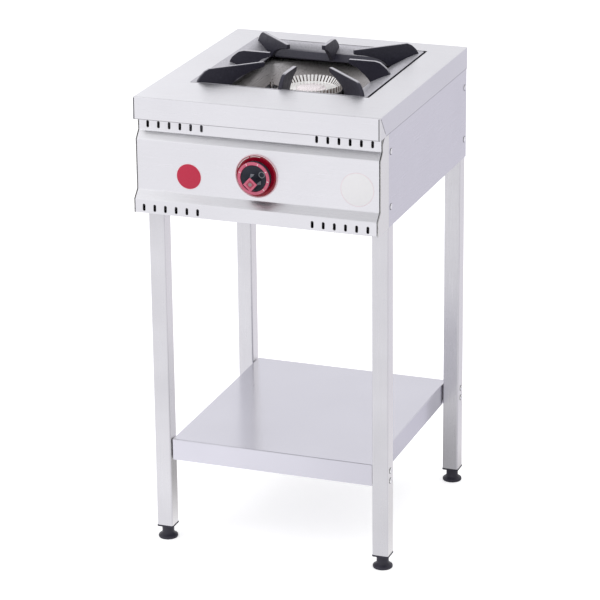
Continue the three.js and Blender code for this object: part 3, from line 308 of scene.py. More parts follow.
for corner in CORNERS:
    cap_low, cap_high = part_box(f"end_cap_{corner}")
    bm = bmesh.new()
    add_block(bm, cap_low, (cap_high.x, cap_high.y, cap_low.z + CAP_FLANGE))
    bevel_edges(bm, [edge for edge in bm.edges if rise(edge) > 0.002], CAP_CORNER, 4)
    bevel_edges(bm, sharper(bm, 1.2), CAP_EDGE, 2)
    keep_faces_flat(finish_piece(
        bm, f"cap_{corner}", black_moulding, "range_body", "black_plastic", f"end_cap_{corner}"))

    node = f"foot_{corner}"
    low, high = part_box(node)
    disc = (high.x - low.x) / 2
    neck_top = cap_low.z - FOOT_GAP - low.z
    stud_top = high.z - low.z
    profile = [(0, 0)] + [(disc - inwards, up) for inwards, up in FOOT_RIM]
    profile += [
        (FOOT_NECK + 0.0003, 0.0103), (FOOT_NECK, 0.0112), (FOOT_NECK, neck_top - 0.0006),
        (FOOT_NECK - 0.0006, neck_top), (STUD_CORE, neck_top),
    ]
    for turn in range(int((stud_top - neck_top) / STUD_PITCH - 0.5)):
        height = neck_top + (turn + 0.5) * STUD_PITCH
        profile += [(STUD, height), (STUD_CORE, height + STUD_PITCH / 2)]
    profile += [(STUD_CORE, stud_top), (0, stud_top)]
    bm = spin_profile(profile, ((low.x + high.x) / 2, (low.y + high.y) / 2, low.z), UP, 48)
    finish_piece(bm, f"screw_{node}", black_moulding, node, "black_plastic", node)


# ---------------- undershelf and its bolts
# One sheet with four folded-down lips, its corners butted against the legs, brushed from side to
# side. Two domed screws with a sunk socket go through each leg into its lips.

FOLD = 0.0022  # outer radius of the folds
SHELF_GAP = 0.001  # beside the legs
FASTENER = (1.0, 1.0, 1.0, 1)
FASTENER_GRAIN = (500, 500, 500)
# The shelf's steel is a darker, bluer copy of the deck's: painted shade under the deck.
SHELF_SHADED_LIGHT = (0.74, 0.735, 0.79, 1)
SHELF_SHADED_DARK = (0.68, 0.675, 0.73, 1)
SHELF_BOLT = (0.0047, 0.0026, 0.0016)  # radius and height of the head, and radius of its socket
SEAT_SHADE = 1.2  # radius of the shade round a head's seat, in head radii
SEAT_DEEP = 0.00015
HEAD_DOME = ((0.8, 0.2), (1, 0.2), (1, 0.4), (0.9, 0.68), (0.68, 0.9), (0.45, 1))  # in radii and heights
# Colours of the joint shade: painted shade in the gaps round the screw heads and at the deck's corners.
JOINT_SHADE_DARK = (0.012, 0.011, 0.014, 1)
JOINT_SHADE_PALE = (0.04, 0.038, 0.045, 1)
CROSSWISE = (14, 900, 900)


def add_tray(bm, low, high, fold):
    """A sheet with lips folded down all round, open below."""
    add_block(bm, low, high)
    below = [face for face in bm.faces if face.normal.z < -0.9]
    bmesh.ops.delete(bm, geom=below, context="FACES_ONLY")
    bevel_edges(bm, [edge for edge in bm.edges if not edge.is_boundary], fold, 5)


# The shelf's steel, painted darker as shade under the deck.
steel_shelf_shaded = brushed_steel("Shelf steel", CROSSWISE, SHELF_SHADED_LIGHT, SHELF_SHADED_DARK, (0.12, 0.24))
joint_shade = moulded_plastic("Joint shade", JOINT_SHADE_DARK, JOINT_SHADE_PALE, bump=0.05)
bright_fastener = brushed_steel("Bright fasteners", FASTENER_GRAIN, FASTENER, FASTENER, (0.1, 0.2))

low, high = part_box("undershelf")
bm = bmesh.new()
add_tray(bm, (low.x + SHELF_GAP, low.y, low.z), (high.x - SHELF_GAP, high.y, high.z), FOLD)
give_wall(finish_piece(bm, "shelf_sheet", steel_shelf_shaded, "range_body", "steel", "undershelf"))


def screw_on_side(node, radius, height, socket):
    """Replaces a CAD screw that points sideways with a domed head and its socket on the same seat."""
    low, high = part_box(node)
    outward = 1 if high.x > 0 else -1
    tip = high.x if outward > 0 else low.x
    seat = (tip - outward * height, (low.y + high.y) / 2, (low.z + high.z) / 2)
    profile = [(radius * SEAT_SHADE, 0), (radius * SEAT_SHADE, SEAT_DEEP), (radius * 0.8, SEAT_DEEP)]
    profile += [(radius * out, height * up) for out, up in HEAD_DOME]
    profile += [(socket, height), (socket, height * 0.4), (0, height * 0.4)]
    bm = spin_profile(profile, (0, 0, 0), UP, 24)
    # The thin seat ring round the head takes the joint shade: a painted shadow.
    for face in bm.faces:
        face.material_index = 1 if max(vert.co.z for vert in face.verts) < SEAT_DEEP * 1.1 else 0
    turn = Vector(UP).rotation_difference(Vector((outward, 0, 0))).to_matrix().to_4x4()
    bmesh.ops.transform(bm, matrix=Matrix.Translation(seat) @ turn, verts=bm.verts)
    looks = (bright_fastener, joint_shade)
    finish_piece(bm, f"head_{node}", looks, "range_body", "bright_steel", node)


def screws_on_legs(kind, sizes):
    """Two screws of a kind on each leg."""
    for corner in CORNERS:
        for index in (1, 2):
            screw_on_side(f"{kind}_{corner}_{index}", *sizes)


screws_on_legs("shelf_bolt", SHELF_BOLT)


# ---------------- side panels, rear panel, shield
# Plain folded sheets. The sides are brushed lengthwise and screwed to the legs with low round
# heads. The rear panel, the shield under the burner and its bracket are dull galvanised sheet, and
# the air shutter and the gas rail have the same zinc finish.

PANEL_SCREW = (0.005, 0.0013, 0.0012)  # radius and height of the head, and radius of its socket
LENGTHWISE = (900, 14, 900)
SIDE_LIGHT = (0.84, 0.835, 0.87, 1)
SIDE_DARK = (0.77, 0.765, 0.80, 1)
GALVANISED_LIGHT = (0.60, 0.61, 0.62, 1)
GALVANISED_DARK = (0.49, 0.50, 0.52, 1)


def galvanised_sheet(name, dark, light):
    """Zinc-coated sheet: a patchwork of grey spangles, dull and slightly uneven."""
    material, tree, shader = shader_material(name)
    spangle = add_node(tree, "TexVoronoi", {"Vector": own_space(tree), "Scale": 90})["Color"]
    tone = add_node(tree, "SeparateColor", {"Color": spangle})
    give(shader.inputs, {
        "Base Color": blend_colours(tree, tone["Red"], dark, light),
        "Roughness": spread(tree, tone["Green"], 0.38, 0.55, 0, 1),
        "Metallic": 0.9,
    })
    return material


def dress(material, *nodes):
    """Gives CAD nodes, whose shapes are right as they are, their finish."""
    for node in nodes:
        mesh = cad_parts[node].data
        mesh.materials.clear()
        mesh.materials.append(material)


steel_lengthwise = brushed_steel("Steel brushed lengthwise", LENGTHWISE, SIDE_LIGHT, SIDE_DARK)
zinc = galvanised_sheet("Galvanised sheet", GALVANISED_DARK, GALVANISED_LIGHT)
dress(steel_lengthwise, "side_panel_left", "side_panel_right")
dress(zinc, "rear_panel", "heat_shield", "burner_bracket", "air_shutter", "gas_rail")
screws_on_legs("panel_screw", PANEL_SCREW)


# ---------------- burner pot, mixer tube and gas parts
# Grey cast iron for the pot and its tube, turned brass for the cock, injector and pilot, soft copper
# for the small tubes. They keep the shapes of their solids; the finish is cast, turned or drawn.

CAST_DARK = (0.05, 0.05, 0.056, 1)
CAST_PALE = (0.12, 0.118, 0.122, 1)
BRASS_BRIGHT = (0.78, 0.56, 0.24, 1)
BRASS_DULL = (0.55, 0.37, 0.14, 1)
BRASS_SOOTED = (0.24, 0.18, 0.12, 1)
COPPER_BRIGHT = (0.72, 0.36, 0.22, 1)
COPPER_DULL = (0.42, 0.19, 0.11, 1)


def raw_casting(name, dark, pale):
    """Sand-cast iron: a coarse grain with paler, drier patches."""
    material, tree, shader = shader_material(name)
    sand = noise(tree, 700, 6)
    give(shader.inputs, {
        "Base Color": blend_colours(tree, noise(tree, 45), dark, pale),
        "Roughness": spread(tree, sand, 0.5, 0.8),
        "Metallic": 0.3,
    })
    raise_surface(tree, shader, sand, 0.5, 0.0006)
    return material


def turned_metal(name, bright, dull, scale):
    """Turned or drawn yellow and red metals, tarnished in patches."""
    return mottled(name, dull, bright, (0.45, 0.22), (scale, 5), values={"Metallic": 1.0})


dress(raw_casting("Grey cast iron", CAST_DARK, CAST_PALE), "burner_pot", "mixer_tube")
yellow_brass = turned_metal("Turned brass", BRASS_BRIGHT, BRASS_DULL, 120)
soft_copper = turned_metal("Soft copper tube", COPPER_BRIGHT, COPPER_DULL, 90)
dress(yellow_brass, "cock_body", "cock_plug", "injector", "inlet_union")
dress(turned_metal("Sooted brass", BRASS_SOOTED, CAST_DARK, 120), "pilot_burner")
dress(soft_copper, "feed_pipe", "pilot_tube", "thermocouple_lead")
dress(bright_fastener, "thermocouple", "cock_spindle")


# ---------------- well
# A bright pressed tub hung under the deck: upright walls, a flat ledge that carries the pan support,
# and a dish drawn down to the hole round the burner, with a slot for the pilot and thermocouple.

WELL_FLANGE = 0.012 + SHEET
WELL_LEDGE = 0.0275
WELL_LOW = (0.24, 0.235, 0.24, 1)
WELL_BRIGHT = (0.60, 0.585, 0.59, 1)
WELL_BROWNED = (0.24, 0.215, 0.205, 1)
HEAT_REACH = (0.055, 0.15)  # distance from the burner's middle over which the browning fades
WELL_GRAIN = (700, 25, 700)
DISH = 0.142
DISH_SECTION = (  # from the burner's middle, and down from the ledge
    (0.143, 0), (0.140, 0.0004), (0.136, 0.0020), (0.102, 0.0110), (0.0752, 0.0178),
    (0.0662, 0.0196), (0.0632, 0.0200),
)
DISH_STEPS = 96
PILOT_SIDE = -0.03  # the slot lies to the left of this
SLOT_MARGIN = (0.002, 0.004)  # of the slot round the pilot and the thermocouple
PILOT_REACH = 0.001  # of the pilot's foot past its head

deck_low, deck_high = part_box("deck")
cap_low, cap_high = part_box("burner_cap")
burner = Vector(((cap_low.x + cap_high.x) / 2, (cap_low.y + cap_high.y) / 2, 0))
ledge = deck_high.z - WELL_LEDGE


def from_burner(face):
    """A face's middle, seen from the burner's."""
    return face.calc_center_median() - burner


def soot_steel(name):
    """Bright steel round the burner, streaked, and browned by heat towards the hole."""
    material, tree, shader = shader_material(name)
    centred = {"Vector": own_space(tree), "Location": (-burner.x, -burner.y, 0)}
    centred = add_node(tree, "Mapping", centred)["Vector"]
    level = add_node(tree, "VectorMath", {0: centred, 1: (1, 1, 0)}, operation="MULTIPLY")["Vector"]
    distance = add_node(tree, "VectorMath", {0: level}, operation="LENGTH")["Value"]
    grain = add_node(tree, "Group", {"Stretch": WELL_GRAIN}, node_tree=BRUSHED_GRAIN)
    plain = blend_colours(tree, grain["Streaks"], WELL_LOW, WELL_BRIGHT)
    heat = spread(tree, distance, 1, 0, *HEAT_REACH)
    give(shader.inputs, {
        "Base Color": blend_colours(tree, heat, plain, WELL_BROWNED),
        "Roughness": spread(tree, grain["Streaks"], 0.22, 0.4),
        "Metallic": 0.6,
    })
    raise_surface(tree, shader, grain["Streaks"], 0.15, 0.0004)
    return material


def verts_among(parts):
    """The vertices among what an operator returned."""
    return [part for part in parts if isinstance(part, bmesh.types.BMVert)]


def open_edges(bm, test):
    """The edges of a shell's openings whose two ends both pass a test of their place."""
    return [edge for edge in bm.edges if edge.is_boundary and all(test(vert.co) for vert in edge.verts)]


def pull_edges(bm, edges, shift):
    """Extrudes edges by a shift; returns what that made."""
    pulled = bmesh.ops.extrude_edge_only(bm, edges=edges)["geom"]
    bmesh.ops.translate(bm, verts=verts_among(pulled), vec=shift)
    return pulled


def add_square(bm, middle, half, height):
    """The four edges of a level square."""
    corners = [bm.verts.new(middle + Vector((x * half, y * half, height)))
               for x, y in ((-1, -1), (1, -1), (1, 1), (-1, 1))]
    return [bm.edges.new((corners[index], corners[(index + 1) % 4])) for index in range(4)]


def cut_faces(bm, faces, point, normal):
    """Cuts these faces along a plane."""
    parts = dict.fromkeys(faces)  # each part once, in an order that doesn't vary
    for face in faces:
        parts.update(dict.fromkeys([*face.edges, *face.verts]))
    bmesh.ops.bisect_plane(bm, geom=list(parts), plane_co=point, plane_no=normal, dist=1e-6)


well_low, well_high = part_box("well")
wall_half = (well_high.x - well_low.x) / 2 - WELL_FLANGE
bm = spin_profile([(out, ledge - drop) for out, drop in DISH_SECTION], burner, UP, DISH_STEPS)
rim = open_edges(bm, lambda spot: spot.z > ledge - 0.0001)
square = add_square(bm, burner, wall_half, ledge)
bmesh.ops.triangle_fill(bm, edges=rim + square, use_beauty=True)
walls = pull_edges(bm, square, (0, 0, well_high.z - ledge))
rim = [part for part in walls if isinstance(part, bmesh.types.BMEdge) and part.is_boundary]
for vert in verts_among(pull_edges(bm, rim, (0, 0, 0))):
    vert.co.x += math.copysign(WELL_FLANGE, vert.co.x - burner.x)
    vert.co.y += math.copysign(WELL_FLANGE, vert.co.y - burner.y)
pilot_low, pilot_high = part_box("pilot_burner")
probe_low, probe_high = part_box("thermocouple")
slot_low = Vector((pilot_low.x + PILOT_REACH - SLOT_MARGIN[0], probe_low.y - SLOT_MARGIN[1], 0))
slot_high = Vector((probe_high.x + SLOT_MARGIN[0], pilot_high.y - PILOT_REACH + SLOT_MARGIN[1], 0))
for point in (slot_low, slot_high):
    for normal in ((1, 0, 0), (0, 1, 0)):
        near = [face for face in bm.faces
                if from_burner(face).to_2d().length < DISH and face.calc_center_median().x < PILOT_SIDE]
        cut_faces(bm, near, point, normal)
hole = [face for face in bm.faces
        if slot_low.x < face.calc_center_median().x < slot_high.x
        and slot_low.y < face.calc_center_median().y < slot_high.y]
bmesh.ops.delete(bm, geom=hole, context="FACES")
face_outwards(bm)
if min(bm.faces, key=lambda face: face.calc_center_median().z).normal.z < 0:
    bmesh.ops.reverse_faces(bm, faces=bm.faces)
well_steel = soot_steel("Well steel")
give_wall(finish_piece(bm, "pressed_well", well_steel, "range_body", "bright_steel", "well"))


# ---------------- burner crown and cap
# The crown is a bright turned ring whose rim is milled into 48 teeth that slope in to a flat floor;
# the flames come out between them. The cap is a low pressed dome on a spigot in its middle.

TEETH = 48
TOOTH_STEPS = 3  # of a tooth, out of the steps for a tooth and the slot beside it
STEPS_PER_TOOTH = 5
TOOTH_DROP = 0.0105
TOOTH_RUN = 0.008
SLOT_FLOOR = 0.001
RIM = 0.002
SKIRT_INNER = 0.0098  # inwards from the rim, as the next
SKIRT_OUTER = 0.0068
CAP_SECTION = (  # inwards and down
    (0.0006, 0.0039), (0, 0.0034), (0, 0.0027), (0.0015, 0.0018), (0.005, 0.0009),
)
CAP_CROWN = (0.45, 0.0002)  # in radii, and down: the dome's last ring
SPIGOT = 0.015
SPIGOT_GAP = 0.0117  # from the cap's edge in to the crown's bore
CROWN_LOW = (0.84, 0.82, 0.81, 1)
CROWN_BRIGHT = (0.97, 0.97, 0.96, 1)
CAP_PALE = (0.92, 0.85, 0.86, 1)
CAP_DULL = (0.85, 0.78, 0.79, 1)
SLOT_BROWN = (0.13, 0.085, 0.07, 1)
SLOT_PALE = (0.34, 0.25, 0.21, 1)
RING_GRAIN = (220, 220, 220)  # unbrushed: the same in every direction

crown_steel = brushed_steel("Burner ring steel", RING_GRAIN, CROWN_BRIGHT, CROWN_LOW, (0.14, 0.26), 0.35)
crown_soot = raw_casting("Burner ring soot", SLOT_BROWN, SLOT_PALE)
cap_steel = brushed_steel("Cap steel", RING_GRAIN, CAP_PALE, CAP_DULL, (0.2, 0.34), 0.45)
low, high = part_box("burner_crown")
radius = (high.x - low.x) / 2
cap_radius = (cap_high.x - cap_low.x) / 2
floor = high.z - TOOTH_DROP
slot_floor = floor + SLOT_FLOOR
foot = radius - RIM - TOOTH_RUN
skirt_top = floor - 0.003
inner = cap_radius - SPIGOT_GAP
profile = [
    (inner, floor), (foot - 0.001, floor), (foot, slot_floor), (radius - RIM, slot_floor),
    (radius, slot_floor), (radius, slot_floor - 0.001), (radius - 0.002, skirt_top),
    (radius - SKIRT_OUTER, skirt_top), (radius - SKIRT_OUTER, low.z), (radius - SKIRT_INNER, low.z),
    (radius - SKIRT_INNER, skirt_top), (inner, skirt_top), (inner, floor),
]
bm = spin_profile(profile, burner, UP, TEETH * STEPS_PER_TOOTH)


def is_tooth(face):
    """True for the ring's upward faces in three of every five steps round the rim."""
    centre = from_burner(face)
    if abs(face.normal.z) < 0.9 or centre.to_2d().length < foot + 0.001 or centre.z < slot_floor - 0.0005:
        return False
    turn = math.degrees(math.atan2(centre.y, centre.x)) % (360 / TEETH)
    return turn < 360 / TEETH * TOOTH_STEPS / STEPS_PER_TOOTH


def is_slot(face):
    """True for the floors of the slots between the teeth and for the teeth's sides."""
    centre = from_burner(face)
    out = centre.to_2d().length
    sideways = abs(face.normal.to_2d().dot(centre.to_2d())) < 0.3 * out and abs(face.normal.z) < 0.5
    if not foot < out < radius - 0.0002 or centre.z <= slot_floor - 0.0003:
        return False
    return sideways or centre.z < slot_floor + 0.0002


teeth = [face for face in bm.faces if is_tooth(face)]
lifted = bmesh.ops.extrude_face_region(bm, geom=teeth)["geom"]
for vert in verts_among(lifted):
    out = (vert.co - burner).to_2d().length
    vert.co.z = high.z if out > radius - RIM - 0.0005 else slot_floor + 0.0004
bmesh.ops.delete(bm, geom=teeth, context="FACES_ONLY")
face_outwards(bm)
for face in bm.faces:
    if is_slot(face):
        face.material_index = 1
looks = (crown_steel, crown_soot)
finish_piece(bm, "toothed_crown", looks, "crown", "bright_steel", "burner_crown", smooth_to=25)

profile = [
    (0, cap_low.z), (SPIGOT - 0.0005, cap_low.z), (SPIGOT, cap_low.z + 0.0005),
    (SPIGOT, cap_high.z - CAP_SECTION[0][1]),
]
profile += [(cap_radius - inwards, cap_high.z - drop) for inwards, drop in CAP_SECTION]
profile += [(cap_radius * CAP_CROWN[0], cap_high.z - CAP_CROWN[1]), (0, cap_high.z)]
bm = spin_profile(profile, burner, UP, 64)
finish_piece(bm, "domed_cap", cap_steel, "cap", "bright_steel", "burner_cap")


# ---------------- pan support
# One iron casting in black stove enamel: a square frame with a sloping flange, and eight fingers
# that rise over the deck and reach in to the burner. Cast edges are round and catch the light.

FRAME_SLOPE = 0.0475  # the flange's reach inwards, and how far it falls on the way
FRAME_SLOPE_DROP = 0.0175
FRAME_DROP = 0.0005  # of the frame's top below the deck's
FRAME_THICK = 0.0025
FRAME_WALL = 0.006
FRAME_CORNER = 0.006
FRAME_ROUND = 0.0016
SHARP = 0.6  # the turn at an edge that gets rounded
FRAME_RIM = 0.0012
FRAME_PROUD = 0.0009
FRAME_NEARER = 0.0021  # it lies nearer the opening's left and back edges than the right and front
FRAME_CURVE = (  # inwards and down
    (0.006, 0.0004), (0.013, 0.0019), (0.021, 0.0047), (0.031, 0.0092), (0.040, 0.0137),
)
FINGER_THICK = 0.007
FINGER_ROUND = 0.0017
FINGER_RISE = 0.020
FINGER_SUNK = 0.0025  # of a finger's root below the flange's surface
FINGERS = (  # to a side and to a corner: tip, root's inset, shoulder (inwards, drop), arch, tip's underside
    (0.075, 0.0115,
     ((0.027, 0), (0.018, 0.0023), (0.011, 0.0075), (0.005, 0.0125), (0.001, 0.0185), (0, 0.021)),
     ((0.1155, -0.019), (0.111, -0.0125), (0.103, -0.0045), (0.090, 0.0066)), 0.0125),
    (0.088, 0.009, ((0.0225, 0), (0.014, 0.004), (0.005, 0.0125), (0, 0.021)),
     ((0.157, -0.019), (0.150, -0.0117), (0.142, -0.0053), (0.130, 0.0003), (0.113, 0.0058)), 0.0115),
)
ENAMEL = (0.020, 0.019, 0.032, 1)
ENAMEL_WORN = (0.052, 0.050, 0.078, 1)
# The pale colour of the enamel's painted sheen.
ENAMEL_PAINTED_SHEEN = (0.95, 0.94, 1.0, 1)
SHEEN_START = 0.43  # the facing value at which the enamel's painted sheen begins, and where it's full
SHEEN_FULL = 0.66


def reckon(tree, operation, *values):
    """A Math node's result."""
    return add_node(tree, "Math", enumerate(values), operation=operation)["Value"]


def stove_enamel(name):
    """Black vitreous enamel on a casting: glossy and slightly wavy, thin and grey where it's worn,
    with a painted sheen: pale, metallic colour in specks on level surfaces seen at a low angle."""
    material, tree, shader = shader_material(name)
    wave = noise(tree, 240, 5)
    speckle = noise(tree, 900, 3)
    enamel = blend_colours(tree, spread(tree, speckle, 0, 1, 0.5, 0.72), ENAMEL, ENAMEL_WORN)
    facing = add_node(tree, "LayerWeight", {"Blend": 0.5})["Facing"]
    normal = add_node(tree, "NewGeometry")["Normal"]
    upward = add_node(tree, "SeparateXYZ", {"Vector": normal})["Z"]
    grazing = spread(tree, facing, 0, 1, SHEEN_START, SHEEN_FULL)
    sheen = reckon(tree, "MULTIPLY", grazing, spread(tree, upward, 0, 1, 0.4, 0.8))
    speckled_painted_sheen = reckon(tree, "MULTIPLY", sheen, spread(tree, speckle, 0.35, 0.8))
    give(shader.inputs, {
        "Base Color": blend_colours(tree, speckled_painted_sheen, enamel, ENAMEL_PAINTED_SHEEN),
        "Roughness": spread(tree, wave, 0.3, 0.5),
        "Metallic": speckled_painted_sheen,
        "Specular IOR Level": 0.45,
    })
    raise_surface(tree, shader, wave, 0.4, 0.0007)
    return material


def pull_faces(bm, faces, shift):
    """Extrudes faces by a shift."""
    pulled = bmesh.ops.extrude_face_region(bm, geom=faces)["geom"]
    bmesh.ops.translate(bm, verts=verts_among(pulled), vec=shift)


def add_plate(bm, outline, shift):
    """A flat piece with this outline, and as thick as the shift."""
    pull_faces(bm, [bm.faces.new([bm.verts.new(point) for point in outline])], shift)


def add_part(bm, part, place):
    """Adds another bmesh at its place, and frees it."""
    bmesh.ops.transform(part, matrix=place, verts=part.verts)
    mesh = bpy.data.meshes.new("part")
    part.to_mesh(mesh)
    part.free()
    bm.from_mesh(mesh)
    bpy.data.meshes.remove(mesh)


low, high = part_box("pan_support")
half = (high.x - low.x) / 2
middle = Vector(((low.x + high.x) / 2, (low.y + high.y) / 2, 0))
frame_top = deck_high.z - FRAME_DROP
slope_foot = frame_top - FRAME_SLOPE_DROP
section = [(half, low.z), (half, frame_top)]
section += [(half - inwards, frame_top - drop) for inwards, drop in FRAME_CURVE]
section += [
    (half - FRAME_SLOPE, slope_foot), (half - FRAME_SLOPE, slope_foot - FRAME_THICK),
    (half - FRAME_WALL, frame_top - FRAME_THICK - 0.002), (half - FRAME_WALL, low.z),
]
bm = bmesh.new()
loops = [add_square(bm, middle, size, height) for size, height in section]
for first, second in zip(loops, loops[1:] + loops[:1]):
    bmesh.ops.bridge_loops(bm, edges=first + second)
face_outwards(bm)
for vert in bm.verts:
    if vert.co.x - middle.x < 0.0001 - half:
        vert.co.x -= FRAME_NEARER
    if vert.co.y - middle.y > half - 0.0001:
        vert.co.y += FRAME_NEARER
    if vert.co.z > frame_top - 0.0001:
        vert.co.z += FRAME_PROUD
uprights = [edge for edge in bm.edges if rise(edge) > 0.01
            and all((vert.co - middle).to_2d().length > half * 1.4 for vert in edge.verts)]
bevel_edges(bm, uprights, FRAME_CORNER, 5)


def frame_rims(bm):
    """The sharp edges round the frame's top."""
    return [edge for edge in sharper(bm, SHARP)
            if all(vert.co.z > frame_top - 0.001 for vert in edge.verts)]


rims = frame_rims(bm)
bevel_edges(bm, [edge for edge in sharper(bm, SHARP) if edge not in rims], FRAME_ROUND, 3)
bevel_edges(bm, frame_rims(bm), FRAME_RIM, 5)


def finger_outline(tip, inset, shoulder, arch, tip_under, spread_by):
    """A finger's side view: a flat top, a rounded shoulder at the frame and an arched underside."""
    root = (half - inset) * spread_by
    reach = (half - FRAME_SLOPE) * spread_by
    points = [(tip, FINGER_RISE)]
    points += [(root - inwards, FINGER_RISE - drop) for inwards, drop in shoulder]
    for distance in (root, reach + 0.002, reach):
        slope = (half - distance / spread_by) / FRAME_SLOPE * FRAME_SLOPE_DROP
        points.append((distance, -FRAME_DROP - slope - FINGER_SUNK))
    return points + list(arch) + [(tip, tip_under)]


for turn in range(8):
    diagonal = turn % 2
    outline = finger_outline(*FINGERS[diagonal], math.sqrt(2) if diagonal else 1)
    finger = bmesh.new()
    side = [(distance, -FINGER_THICK / 2, height) for distance, height in outline]
    add_plate(finger, side, (0, FINGER_THICK, 0))
    face_outwards(finger)
    bevel_edges(finger, sharper(finger, 0.9), FINGER_ROUND, 3)
    spot = Matrix.Translation(middle + Vector((0, 0, deck_high.z)))
    add_part(bm, finger, spot @ Matrix.Rotation(turn * math.pi / 4, 4, "Z"))
black_enamel = stove_enamel("Black stove enamel")
keep_faces_flat(finish_piece(
    bm, "cast_pan_support", black_enamel, "pan_support", "cast_iron", "pan_support", smooth_to=50))


# ---------------- deck
# One folded sheet over the whole range, with a square opening for the pan support. Its front lip
# returns round each corner as a short flap with its end cut at an angle, lapped over the side lip.

DECK_FOLD = 0.0018
DECK_EDGE = 0.0011
DECK_OVERLAP = 0.001  # of its opening over the well's walls
EDGE_SHADE = (0.40, 0.395, 0.41, 1)
TURNED = 0.005  # down round the opening
FLAP = 0.0005  # its thickness
FLAP_SHAPE = ((0.0004, 0), (0.032, 0), (0.026, 0.006), (0.003, 0.037))  # back from the front, up
# The flaps take lighter, warmer colours than the deck's steel: painted light on them.
FLAP_PAINTED_LIGHT = (0.99, 0.99, 0.93, 1)
LIP_END_SHADE = 0.0016  # width of the painted shade line at the front lip's ends; the next is the flap's
FLAP_EDGE_SHADE = 0.0025
SHADE_PLATE_THICK = 0.0002
UNDER_LIP_SHADE = ((0.018, 0), (0.036, 0), (0.023, 0.0030), (0.018, 0.010))  # painted shade in the gap under the lip: back, down


def recolour(material, mask, colour):
    """Mixes another colour into a material's base colour where a mask socket of its tree is 1."""
    tree = material.node_tree
    base = tree.nodes["Principled BSDF"].inputs["Base Color"]
    tree.links.new(blend_colours(tree, mask, base.links[0].from_socket, colour), base)


def shade_edge(material, height, colour):
    """Darkens a sheet below a height, where its raw edge and the joint under it lie in shade."""
    tree = material.node_tree
    upright = add_node(tree, "SeparateXYZ", {"Vector": own_space(tree)})["Z"]
    recolour(material, reckon(tree, "LESS_THAN", upright, height), colour)


def level_tops(bm):
    """The faces that look straight up."""
    return [face for face in bm.faces if face.normal.z > 0.99]


def off_middle(point):
    """How far a point lies from the burner's middle, measured as on a square."""
    return max(abs((point - burner).x), abs((point - burner).y))


low, high = deck_low, deck_high
bm = bmesh.new()
add_tray(bm, (low.x + FLAP, low.y, low.z), (high.x - FLAP, high.y, high.z), DECK_FOLD)
opening = wall_half - DECK_OVERLAP
for sign in (-1, 1):
    for axis in ((1, 0, 0), (0, 1, 0)):
        cut_faces(bm, level_tops(bm), burner + Vector(axis) * sign * opening, axis)
hole = [face for face in level_tops(bm) if off_middle(face.calc_center_median()) < opening]
bmesh.ops.delete(bm, geom=hole, context="FACES")
lips = open_edges(bm, lambda spot: off_middle(spot) < opening + 0.0005)
pull_edges(bm, lips, (0, 0, -TURNED))
face_outwards(bm)
deck_steel = brushed_steel("Deck steel", CROSSWISE)
shade_edge(deck_steel, low.z + DECK_EDGE, EDGE_SHADE)
give_wall(finish_piece(bm, "deck_sheet", deck_steel, "range_body", "steel", "deck"))

bm = bmesh.new()
for sign in (-1, 1):
    side = sign * (high.x - FLAP)
    outline = [(side, low.y + back, low.z + up) for back, up in FLAP_SHAPE]
    add_plate(bm, outline, (sign * FLAP, 0, 0))
face_outwards(bm)
# The flaps' steel is painted lighter: painted light.
steel_flap_painted_light = brushed_steel("Flap steel", CROSSWISE, FLAP_PAINTED_LIGHT, STEEL_LIGHT)
finish_piece(bm, "deck_corner_flaps", steel_flap_painted_light, "range_body", "steel")

panel_low, panel_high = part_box("front_panel")
# Thin dark plates of joint shade: painted shade at the front lip's ends, along the flaps' slanted edges and
# in the gap under the lip.
bm = bmesh.new()
for sign in (-1, 1):
    edge = sign * (high.x - DECK_FOLD)
    across = sorted((edge, edge - sign * LIP_END_SHADE))
    add_block(bm, (across[0], low.y - 0.00004, low.z + 0.0002),
              (across[1], low.y + 0.0004, high.z - DECK_FOLD))
    (start, top), (stop, foot) = FLAP_SHAPE[3], FLAP_SHAPE[2]
    slant = ((start, top), (start + FLAP_EDGE_SHADE, top), (stop + FLAP_EDGE_SHADE, foot), (stop, foot))
    side = sign * (high.x - FLAP)
    shift = (sign * SHADE_PLATE_THICK, 0, 0)
    add_plate(bm, [(side, low.y + back, low.z + up) for back, up in slant], shift)
    add_plate(bm, [(sign * panel_high.x, low.y + back, low.z - down) for back, down in UNDER_LIP_SHADE], shift)
face_outwards(bm)
finish_piece(bm, "deck_corner_painted_shade", joint_shade, "range_body", "steel")


# ---------------- front control panel
# A folded fascia: an upright flange behind the deck's lip, a chamfer out to the flat that carries
# the knob, and a second chamfer out to the bottom flange. Both flanges have rows of vent slots.

PANEL_FOLD = 0.0016
PANEL_PROFILE = (  # from the deck's front face and its top
    (0.018, 0.0018), (0.018, 0.063), (0.006, 0.077), (0.006, 0.167), (-0.008, 0.181), (-0.008, 0.206),
)
PANEL_RETURN = 0.020
# The cheeks take lighter, warmer colours than the deck's steel, as bright as a face lit from the front:
# painted light.
CHEEK_PAINTED_LIGHT = (0.98, 0.98, 0.935, 1)
CHEEK_PAINTED_LIGHT_LOW = (0.92, 0.92, 0.875, 1)
HEM = 0.012
SEAMS = (0.0015, 0.0025)  # at the left end, where it hardly shows, and at the right
SEAM_RETURN = 0.004
# The insides of the fascia and its cheeks are dark: partly a dull mill finish, partly painted shade inside
# the range.
MILL_DULL_AND_SHADE = (0.16, 0.15, 0.16, 1)
MILL_GRAIN = (300, 300, 300)
SLOT_WIDTH = 0.0054
SLOT_HEIGHT = 0.013
SLOT_PLACES = [0.105 + 0.020 * index for index in range(6)]
SLOT_ROWS = ((0.018, 0.052), (-0.008, 0.1955))  # back from the deck's front and down from its top
SPINDLE_HOLE = 0.006

steel_crosswise = brushed_steel("Steel brushed crosswise", CROSSWISE)
# The cheeks' steel is painted lighter: painted light.
steel_cheek_painted_light = brushed_steel("Cheek steel", UPRIGHT, CHEEK_PAINTED_LIGHT, CHEEK_PAINTED_LIGHT_LOW)
